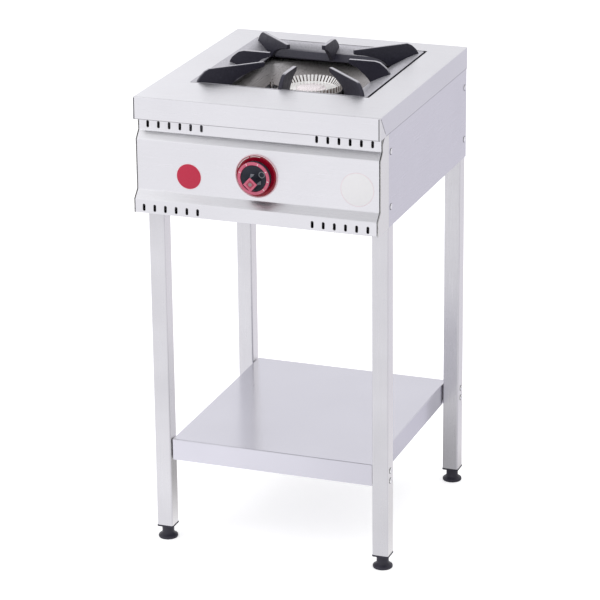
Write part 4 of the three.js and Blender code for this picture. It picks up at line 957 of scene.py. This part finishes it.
# The sheets' inside: a dull mill finish darkened by painted shade.
raw_inside_shaded = brushed_steel("Sheet inside", MILL_GRAIN, MILL_DULL_AND_SHADE, MILL_DULL_AND_SHADE, (0.6, 0.75))
low, high = panel_low, panel_high
knob_low, knob_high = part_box("knob_ring")
knob_axis = Vector((0, 0, (knob_low.z + knob_high.z) / 2))
profile = [(deck_low.y + back, deck_high.z - down) for back, down in PANEL_PROFILE]
left, right = low.x + SEAMS[0], high.x - SEAMS[1]
bm = bmesh.new()
line = [bm.verts.new((left, y, z)) for y, z in profile]
chain = [bm.edges.new(pair) for pair in zip(line, line[1:])]
pull_edges(bm, chain, (right - left, 0, 0))
for x in (left, right):
    pull_edges(bm, open_edges(bm, lambda spot: abs(spot.x - x) < 1e-6), (0, SEAM_RETURN, 0))
lowest = Vector(profile[-1])
bottom = open_edges(bm, lambda spot: (spot.yz - lowest).length < 1e-6)
for step in ((0, PANEL_RETURN, 0), (0, 0, HEM)):
    returned = pull_edges(bm, bottom, step)
    moved = verts_among(returned)
    bottom = [part for part in returned
              if isinstance(part, bmesh.types.BMEdge) and all(vert in moved for vert in part.verts)]
bmesh.ops.remove_doubles(bm, verts=bm.verts, dist=1e-6)
face_outwards(bm)
folds = [edge for edge in sharper(bm, 0.3) if len(edge.link_faces) == 2]
bevel_edges(bm, folds, PANEL_FOLD, 4)


def add_loop(bm, centre, width, height, steps=8):
    """An upright slot's outline in the XZ plane, round-ended; round if it is as wide as it is high."""
    points = []
    straight = (height - width) / 2
    for step in range(2 * steps):
        angle = math.pi * step / steps + 1e-4
        lift = straight if math.sin(angle) > 0 else -straight
        place = Vector((width / 2 * math.cos(angle), 0, lift + width / 2 * math.sin(angle)))
        points.append(bm.verts.new(centre + place))
    return [bm.edges.new((points[index - 1], points[index])) for index in range(len(points))]


def fill_with_holes(bm, y, height, holes):
    """Replaces the flat face of the fascia at this depth and height by the same face with holes."""
    flat = [face for face in bm.faces if abs(face.normal.y) > 0.99 and face.calc_area() > 0.004
            and abs(face.calc_center_median().y - y) < 1e-5
            and abs(face.calc_center_median().z - height) < 0.05]
    outline = [edge for face in flat for edge in face.edges]
    bmesh.ops.delete(bm, geom=flat, context="FACES_ONLY")
    rims = [edge for centre, width, tall in holes for edge in add_loop(bm, centre, width, tall)]
    bmesh.ops.triangle_fill(bm, edges=outline + rims, use_beauty=True)


for back, down in SLOT_ROWS:
    y = deck_low.y + back
    z = deck_high.z - down
    holes = [(Vector((sign * x, y, z)), SLOT_WIDTH, SLOT_HEIGHT) for x in SLOT_PLACES for sign in (-1, 1)]
    fill_with_holes(bm, y, z, holes)
flat_y = deck_low.y + PANEL_PROFILE[2][0]
spindle = (Vector((0, flat_y, knob_axis.z)), 2 * SPINDLE_HOLE, 2 * SPINDLE_HOLE)
fill_with_holes(bm, flat_y, knob_axis.z, [spindle])
bmesh.ops.remove_doubles(bm, verts=bm.verts, dist=1e-6)
face_outwards(bm)
if min(bm.faces, key=lambda face: face.calc_center_median().y).normal.y > 0:
    bmesh.ops.reverse_faces(bm, faces=bm.faces)
looks = (steel_crosswise, raw_inside_shaded)
panel = finish_piece(bm, "fascia_sheet", looks, "range_body", "steel", "front_panel")
give_wall(panel, inside=1)

bm = bmesh.new()
for x in (low.x, high.x):
    outline = profile + [(high.y, profile[-1][1]), (high.y, profile[0][1])]
    bm.faces.new([bm.verts.new((x, y, z)) for y, z in outline])
bm.normal_update()
for face in bm.faces:
    if face.normal.x * face.calc_center_median().x < 0:
        face.normal_flip()
cheeks = finish_piece(bm, "fascia_cheeks", (steel_cheek_painted_light, raw_inside_shaded), "range_body", "steel")
give_wall(cheeks, inside=1)


# ---------------- bezel
# A thin moulded disc in deep red gloss behind the knob: a rounded bead inside a flat, pale rim.
# It lies flat on the fascia round the spindle, and two plain white arcs stand on its bead.

LACQUER_DEEP = (0.25, 0.001, 0.010, 1)
LACQUER_BRIGHT = (0.43, 0.005, 0.032, 1)
RIM_PALE = (0.97, 0.66, 0.72, 1)
RIM_INNER = 0.0362
BEZEL_SECTION = (  # from the knob's axis, and out of the fascia
    (0.006, 0.0003), (0.0385, 0.0003), (0.0385, 0.0024), (0.0382, 0.0027), (0.0377, 0.0028),
    (0.0371, 0.0025), (0.0366, 0.0017), (0.0362, 0.0010), (0.0360, 0.0009), (0.0359, 0.0018),
    (0.0355, 0.0021), (0.0345, 0.0022), (0.0325, 0.0021), (0.0310, 0.0018), (0.0295, 0.0015),
    (0.006, 0.0015), (0.006, 0.0003),
)
BEZEL_MARKS = ((112, 159), (77, 107))  # two plain arcs, in degrees
MARK_SECTION = ((0.0342, 0.0018), (0.0342, 0.0024), (0.0355, 0.0024), (0.0355, 0.0018))
MARK_STEPS = 10
MARK_WHITE = ((0.80, 0.70, 0.72, 1), (0.92, 0.84, 0.86, 1))
OUTWARD = (0, -1, 0)  # out of the front of the range


def glossy_lacquer(name, deep, bright, gloss=0.5):
    """Clear-coated red with a faint cloud, as on moulded or lacquered trim."""
    values = {"Specular IOR Level": gloss, "Coat Weight": gloss, "Coat Roughness": 0.06}
    return mottled(name, deep, bright, (0.16, 0.28), (90, 4), (0.05, 0.0003), values=values)


def disc_rim_group():
    """A mask that is 1 on the rim of a disc on the fascia, outside a radius from its middle."""
    inputs = {"Middle": "Vector", "Radius": "Float"}
    group, given, result = start_group("Disc rim", inputs, {"Rim": "Float"})
    level = {0: own_space(group), 1: (1, 0, 1)}
    level = add_node(group, "VectorMath", level, operation="MULTIPLY")["Vector"]
    reach = {0: level, 1: given["Middle"]}
    reach = add_node(group, "VectorMath", reach, operation="DISTANCE")["Value"]
    give(result, {"Rim": reckon(group, "GREATER_THAN", reach, given["Radius"])})
    return group


DISC_RIM = disc_rim_group()


def pale_rim(material, x, z, radius, colour):
    """Gives a disc on the fascia a rim of another colour outside a radius from its middle."""
    values = {"Middle": (x, 0, z), "Radius": radius}
    rim = add_node(material.node_tree, "Group", values, node_tree=DISC_RIM)["Rim"]
    recolour(material, rim, colour)


def on_panel(profile):
    """A profile of (radius, height before the fascia) points, turned about the knob's axis."""
    return spin_profile(profile, (knob_axis.x, flat_y, knob_axis.z), OUTWARD, 72)


red_lacquer = glossy_lacquer("Red lacquer", LACQUER_DEEP, LACQUER_BRIGHT, 0.25)
pale_rim(red_lacquer, knob_axis.x, knob_axis.z, RIM_INNER, RIM_PALE)
finish_piece(on_panel(BEZEL_SECTION), "red_bezel", red_lacquer, "range_body", "red_plastic", "knob_bezel")

mark_white = moulded_plastic("Mark white", *MARK_WHITE, bump=0.05)
bm = bmesh.new()
for start, stop in BEZEL_MARKS:
    turns = [math.radians(start + (stop - start) * step / MARK_STEPS) for step in range(MARK_STEPS + 1)]
    rows = [[bm.verts.new((knob_axis.x + radius * math.cos(turn), flat_y - lift,
                           knob_axis.z + radius * math.sin(turn))) for turn in turns]
            for radius, lift in MARK_SECTION]
    for first, second in zip(rows, rows[1:] + rows[:1]):
        for index in range(MARK_STEPS):
            bm.faces.new((first[index], first[index + 1], second[index + 1], second[index]))
    for index in (0, MARK_STEPS):
        bm.faces.new([row[index] for row in rows])
face_outwards(bm)
finish_piece(bm, "bezel_marks", mark_white, "range_body", "red_plastic")


# ---------------- knob, its ring and its pointer
# A black moulded knob with a square grip that flares to its foot. A red ring with plain index marks
# is pressed round its face, a red square is let into the grip, and a round grey mark lies beside it.

KNOB_FACE = 0.017
KNOB_SECTION = (  # from the knob's axis, and out of the fascia, as the next
    (0, 0.0055), (0.0275, 0.0055), (0.0282, 0.0059), (0.0290, 0.0070), (0.0285, 0.0149),
    (0.0232, 0.0149), (0.0232, 0.0158), (0.0226, 0.0164), (0.0215, 0.0165), (0.0155, 0.0158),
    (0.0080, 0.0151), (0, 0.0150),
)
RING_SECTION = (
    (0.0235, 0.0152), (0.0290, 0.0152), (0.0290, 0.0160), (0.0287, 0.0167), (0.0280, 0.0170),
    (0.0240, 0.0170), (0.0235, 0.0165), (0.0235, 0.0152),
)
GRIP_PLACE = (-0.001, -0.0073)
GRIP_LEVELS = (  # half width, cut corner and height
    (0.0136, 0.0050, 0.014), (0.0120, 0.0044, 0.0165), (0.0104, 0.0034, 0.020), (0.0095, 0.0024, 0.024),
    (0.009, 0.0014, 0.028),
)
KNOB_DARK = (0.003, 0.004, 0.008, 1)
KNOB_BLOOM = (0.05, 0.055, 0.075, 1)
# Colours of the grip's cut corners: a painted highlight.
GRIP_HIGHLIGHT_LOW = (0.05, 0.052, 0.065, 1)
GRIP_HIGHLIGHT = (0.42, 0.43, 0.48, 1)
RING_RED = ((0.60, 0.07, 0.15, 1), (0.76, 0.16, 0.26, 1))
MARK_GREY = ((0.10, 0.105, 0.12, 1), (0.32, 0.33, 0.36, 1))
PAD_RED = ((0.34, 0.02, 0.06, 1), (0.46, 0.05, 0.1, 1))
PAD_GREY = ((0.26, 0.2, 0.21, 1), (0.36, 0.3, 0.31, 1))
PAD_HALF = 0.009
PAD_THICK = 0.002
PAD_ROUND = 0.0007
PAD_INSET = 0.0056
PAD_SUNK = 0.0004
PANEL_SUNK = 0.0006
PANEL_THICK = 0.0003
BUTTON = ((0, 0), (0.0034, 0), (0.0034, 0.0002), (0.0030, 0.0004), (0, 0.0005))
POINTER_ANGLE = math.radians(228)
OFF_PLACE = (0.0155, 0.0078)
OFF_MARK = 0.0057  # its radius
OFF_SUNK = 0.0012  # of its foot below the knob's face
OFF_SECTION = (  # inwards from its edge, and up
    (0, 0), (0, 0.0009), (0.0002, 0.0011), (0.0009, 0.0011), (0.0011, 0.0009), (0.0014, 0.0001),
)
MARK_ANGLES = (72, 30, -8, -45, 118, 160)
MARK_REACH = 0.02625  # from the knob's axis
INDEX_MARK = Vector((0.0018, 0.0006, 0.0001))  # half sizes


def face_frame(x, z, angle, height):
    """A place on the knob from its axis: X turned by an angle from the right, Z out of the fascia."""
    along = Vector((math.cos(angle), 0, math.sin(angle)))
    out = Vector(OUTWARD)
    place = Matrix((along, out.cross(along), out)).transposed().to_4x4()
    place.translation = Vector((knob_axis.x + x, flat_y, knob_axis.z + z)) + out * height
    return place


bm = on_panel(KNOB_SECTION)
grip = bmesh.new()
rings = []
for size, corner, height in GRIP_LEVELS:
    cut_back = size - corner
    outline = ((-size, -cut_back), (-cut_back, -size), (cut_back, -size), (size, -cut_back),
               (size, cut_back), (cut_back, size), (-cut_back, size), (-size, cut_back))
    rings.append([grip.verts.new((x, y, height)) for x, y in outline])
for first, second in zip(rings, rings[1:]):
    for index in range(8):
        follow = (index + 1) % 8
        side = grip.faces.new((first[index], first[follow], second[follow], second[index]))
        # Every other side, the cut corners, takes the grip's corner colour: a painted highlight.
        side.material_index = 1 if index % 2 == 0 else 0
grip.faces.new(rings[0])
grip.faces.new(rings[-1])
face_outwards(grip)
grip_place = face_frame(*GRIP_PLACE, POINTER_ANGLE, 0)
add_part(bm, grip, grip_place)
knob_black = moulded_plastic("Knob plastic", KNOB_DARK, KNOB_BLOOM, (0.25, 0.6), 0.15, 0.2)
knob_corner_highlight = moulded_plastic("Knob corner highlight", GRIP_HIGHLIGHT_LOW, GRIP_HIGHLIGHT, (0.2, 0.35), 0.1)
looks = (knob_black, knob_corner_highlight)
finish_piece(bm, "knob_moulding", looks, "knob", "black_plastic", "knob", smooth_to=28)

ring_red = glossy_lacquer("Ring red", *RING_RED)
finish_piece(on_panel(RING_SECTION), "knob_red_ring", ring_red, "knob", "red_plastic", "knob_ring")

bm = bmesh.new()
for degrees in MARK_ANGLES:
    mark = add_block(bm, -INDEX_MARK, INDEX_MARK)
    turn = math.radians(degrees)
    spot = face_frame(MARK_REACH * math.cos(turn), MARK_REACH * math.sin(turn), turn, KNOB_FACE)
    bmesh.ops.transform(bm, matrix=spot, verts=mark)
finish_piece(bm, "index_marks", mark_white, "knob", "red_plastic")

section = [(OFF_MARK - inwards, up) for inwards, up in OFF_SECTION]
spot = Vector((OFF_PLACE[0], flat_y - KNOB_FACE + OFF_SUNK, OFF_PLACE[1])) + knob_axis
bm = spin_profile(section, spot, OUTWARD, 40)
knob_grey = moulded_plastic("Knob grey", *MARK_GREY, (0.25, 0.35), 0.1)
finish_piece(bm, "off_mark", knob_grey, "knob", "black_plastic")

pad_top = flat_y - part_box("knob_pointer")[0].y
bm = bmesh.new()
add_block(bm, (-PAD_HALF, -PAD_HALF, pad_top - PAD_THICK), (PAD_HALF, PAD_HALF, pad_top))
bevel_edges(bm, list(bm.edges), PAD_ROUND, 3)
bmesh.ops.inset_region(bm, faces=level_tops(bm), thickness=PAD_HALF - PAD_ROUND - PAD_INSET)
for vert in max(level_tops(bm), key=lambda face: face.calc_area()).verts:
    vert.co.z -= PAD_SUNK
bmesh.ops.transform(bm, matrix=grip_place, verts=bm.verts)
face_outwards(bm)
keep_faces_flat(finish_piece(bm, "knob_red_pad", ring_red, "knob", "red_plastic", "knob_pointer"))

bm = bmesh.new()
panel_foot = pad_top - PANEL_SUNK
add_block(bm, (-PAD_INSET, -PAD_INSET, panel_foot), (PAD_INSET, PAD_INSET, panel_foot + PANEL_THICK))
bmesh.ops.transform(bm, matrix=grip_place, verts=bm.verts)
finish_piece(bm, "pad_panel", glossy_lacquer("Pad deep red", *PAD_RED), "knob", "red_plastic")

bm = spin_profile(BUTTON, (0, 0, 0), UP, 32)
spot = face_frame(*GRIP_PLACE, POINTER_ANGLE, panel_foot)
bmesh.ops.transform(bm, matrix=spot, verts=bm.verts)
pad_grey = moulded_plastic("Pad grey", *PAD_GREY, bump=0.1)
finish_piece(bm, "pad_button", pad_grey, "knob", "red_plastic")


# ---------------- labels on the fascia
# Two plain round stickers, a red one and a pale one: thin vinyl discs with a paler rim, stuck flat
# on the fascia to the left and to the right of the knob.

LABEL_THICK = 0.0002
LABEL_RIM = 0.0012
LABEL_EDGE = (0.93, 0.80, 0.84, 1)
LABEL_RED = ((0.56, 0.015, 0.055, 1), (0.64, 0.022, 0.075, 1))
LABEL_PALE = ((0.96, 0.95, 0.98, 1), (1.0, 0.99, 1.0, 1))
LABELS = (  # name, place, radius, colours, slot
    ("label_red", (-0.1253, 0.7138), 0.0235, LABEL_RED, "red_plastic"),
    ("label_pale", (0.1817, 0.7198), 0.030, LABEL_PALE, "bright_steel"),
)

for name, (x, z), radius, colours, slot in LABELS:
    profile = [(0, 0), (radius, 0), (radius, LABEL_THICK * 0.7)]
    profile += [(radius - 0.0002, LABEL_THICK), (0, LABEL_THICK)]
    bm = spin_profile(profile, (x, flat_y, z), OUTWARD, 64)
    vinyl = mottled(f"Vinyl {name}", *colours, (0.35, 0.45), (300,))
    pale_rim(vinyl, x, z, radius - LABEL_RIM, LABEL_EDGE)
    finish_piece(bm, name, vinyl, "range_body", slot)


# ---------------- studio
# A pale floor, soft light from above and the left, and the camera at the photograph's angle. The
# sky that the steel mirrors is brightest in front of the range and behind it.

SKY = (  # brightness from the front, at 0, to the back, at 1
    (0.16, 0.92), (0.25, 0.55), (0.335, 0.68), (0.44, 0.74), (0.56, 0.62), (0.76, 0.62),
    (0.89, 0.93), (1.0, 0.95),
)
SKY_TINT = (0.992, 0.985, 1.02)
SKY_LIGHT = (0.72, 0.72, 0.72, 1)
SKY_LEFT = 1.35
SKY_RIGHT = 0.96
SKY_TURN = (-0.43, -0.355)  # between the two, by the direction's X
FLOOR_COLOUR = (0.9, 0.9, 0.91, 1)
# Colours of the floor as the steel mirrors it: a painted reflection, with painted shade behind the range
# and a painted shadow under it.
FLOOR_FRONT = (1.0, 0.99, 1.03, 1)
FLOOR_BEHIND = (0.826, 0.808, 0.895, 1)
FLOOR_PAINTED_SHADOW = (0.40, 0.395, 0.41, 1)
FLOOR_DARKEST = (0, 0.17, 0)
FLOOR_SHADE = (0.12, 0.38)  # distance from there over which the shade fades
FLOOR_SWEEP = (-0.3, 0.6)  # from the front's colour to the back's, by Y
FLOOR_NEAR = (-0.9, -0.65)  # where the change in strength before the range fades, by Y
FLOOR_NEAR_LEFT = 0.09
FLOOR_NEAR_RIGHT = -0.12
FLOOR_NEAR_TURN = (-0.25, 0.1)  # between the two, by X
FLOOR_LIFT = 0.56
WHITE = (1, 1, 1, 1)

bm = bmesh.new()
bmesh.ops.create_grid(bm, x_segments=1, y_segments=1, size=20)
floor_material, tree, floor_shader = shader_material("Studio floor")
ground = make_object(bm, "floor", floor_material)
path = add_node(tree, "LightPath")
give(floor_shader.inputs, {
    "Base Color": FLOOR_COLOUR,
    "Roughness": 0.9,
    "Specular IOR Level": 0.0,
    "Emission Color": WHITE,
    "Emission Strength": reckon(tree, "MULTIPLY", path["Is Camera Ray"], FLOOR_LIFT),
})

# In the steel's reflections the floor glows as a pale sweep with painted shade: darker behind the range,
# a painted shadow under it, and near the range brighter to the left and darker to the right.
place = own_space(tree)
depth = add_node(tree, "SeparateXYZ", {"Vector": place})
sweep = blend_colours(tree, spread(tree, depth["Y"], 0, 1, *FLOOR_SWEEP), FLOOR_FRONT, FLOOR_BEHIND)
distance = add_node(tree, "VectorMath", {0: place, 1: FLOOR_DARKEST}, operation="DISTANCE")["Value"]
shade = blend_colours(tree, spread(tree, distance, 0, 1, *FLOOR_SHADE), FLOOR_PAINTED_SHADOW, sweep)
across = spread(tree, depth["X"], FLOOR_NEAR_LEFT, FLOOR_NEAR_RIGHT, *FLOOR_NEAR_TURN)
near = reckon(tree, "MULTIPLY_ADD", across, spread(tree, depth["Y"], 0, 1, *FLOOR_NEAR), 1)
mirrored = add_node(tree, "Emission", {"Color": shade, "Strength": near})["Emission"]
surfaces = {"Fac": path["Is Glossy Ray"], 1: floor_shader.outputs["BSDF"], 2: mirrored}
give(tree.nodes["Material Output"].inputs, {"Surface": add_node(tree, "MixShader", surfaces)["Shader"]})


def sky_colour(strength):
    """The sky's colour at a strength, with its faint tint."""
    return tuple(strength * part for part in SKY_TINT) + (1,)


world = bpy.data.worlds.new("Studio")
bpy.context.scene.world = world
world.use_nodes = True
tree = world.node_tree
seen = add_node(tree, "LightPath")
rise_of_ray = add_node(tree, "SeparateXYZ", {"Vector": add_node(tree, "TexCoord")["Generated"]})
overhead = tree.nodes.new("ShaderNodeValToRGB")
stops = overhead.color_ramp.elements
for stop, (position, strength) in zip(stops, SKY[:2]):
    stop.position, stop.color = position, sky_colour(strength)
for position, strength in SKY[2:]:
    stops.new(position).color = sky_colour(strength)
give(overhead.inputs, {"Fac": spread(tree, rise_of_ray["Y"], 0, 1, -1, 1)})
sideways = spread(tree, rise_of_ray["X"], SKY_LEFT, SKY_RIGHT, *SKY_TURN)
scaled = {0: overhead.outputs["Color"], "Scale": sideways}
scaled = add_node(tree, "VectorMath", scaled, operation="SCALE")["Vector"]
light = blend_colours(tree, seen["Is Glossy Ray"], SKY_LIGHT, scaled)
shown = blend_colours(tree, seen["Is Camera Ray"], light, WHITE)
give(tree.nodes["Background"].inputs, {"Color": shown, "Strength": 1})


def softbox(name, place, target, size, power, mirrored):
    """A square area lamp that looks from its place to a target, and shows in the steel or not."""
    lamp = bpy.data.lights.new(name, "AREA")
    lamp.shape = "RECTANGLE"
    lamp.size = lamp.size_y = size
    lamp.energy = power
    box = bpy.data.objects.new(name, lamp)
    aim = (Vector(target) - Vector(place)).to_track_quat("-Z", "Y")
    box.matrix_world = Matrix.Translation(place) @ aim.to_matrix().to_4x4()
    box.visible_camera = False
    box.visible_glossy = mirrored
    bpy.context.collection.objects.link(box)


softbox("key", (-1.8, -2.2, 3.0), (0, 0, 0.5), 1.6, 16, False)
softbox("top", (0.2, 0.3, 3.2), (0, 0, 0.8), 2.0, 16, False)
softbox("side", (-0.65, -0.6, 1.35), (-0.2, -0.22, 0.78), 0.45, 0.3, True)

CAMERA_PLACE = Vector((1.6932, -4.6152, 2.1706))
CAMERA_TURN = math.radians(20.24991)
CAMERA_DIP = math.radians(19.56367)
CAMERA_ROLL = math.radians(-0.61181)
CAMERA_LENS = 172.437
SENSOR = 36

level_right = Vector((math.cos(CAMERA_TURN), math.sin(CAMERA_TURN), 0))
backwards = Vector((
    math.sin(CAMERA_TURN) * math.cos(CAMERA_DIP), -math.cos(CAMERA_TURN) * math.cos(CAMERA_DIP),
    math.sin(CAMERA_DIP),
))
level_up = backwards.cross(level_right)
right = level_right * math.cos(CAMERA_ROLL) + level_up * math.sin(CAMERA_ROLL)
up = backwards.cross(right)
view = bpy.data.cameras.new("camera")
view.lens = CAMERA_LENS
view.sensor_width = SENSOR
camera = bpy.data.objects.new("camera", view)
stand = Matrix((right, up, backwards)).transposed().to_4x4()
stand.translation = CAMERA_PLACE
camera.matrix_world = stand
bpy.context.collection.objects.link(camera)
bpy.context.scene.camera = camera
bpy.context.scene.view_settings.view_transform = "Standard"
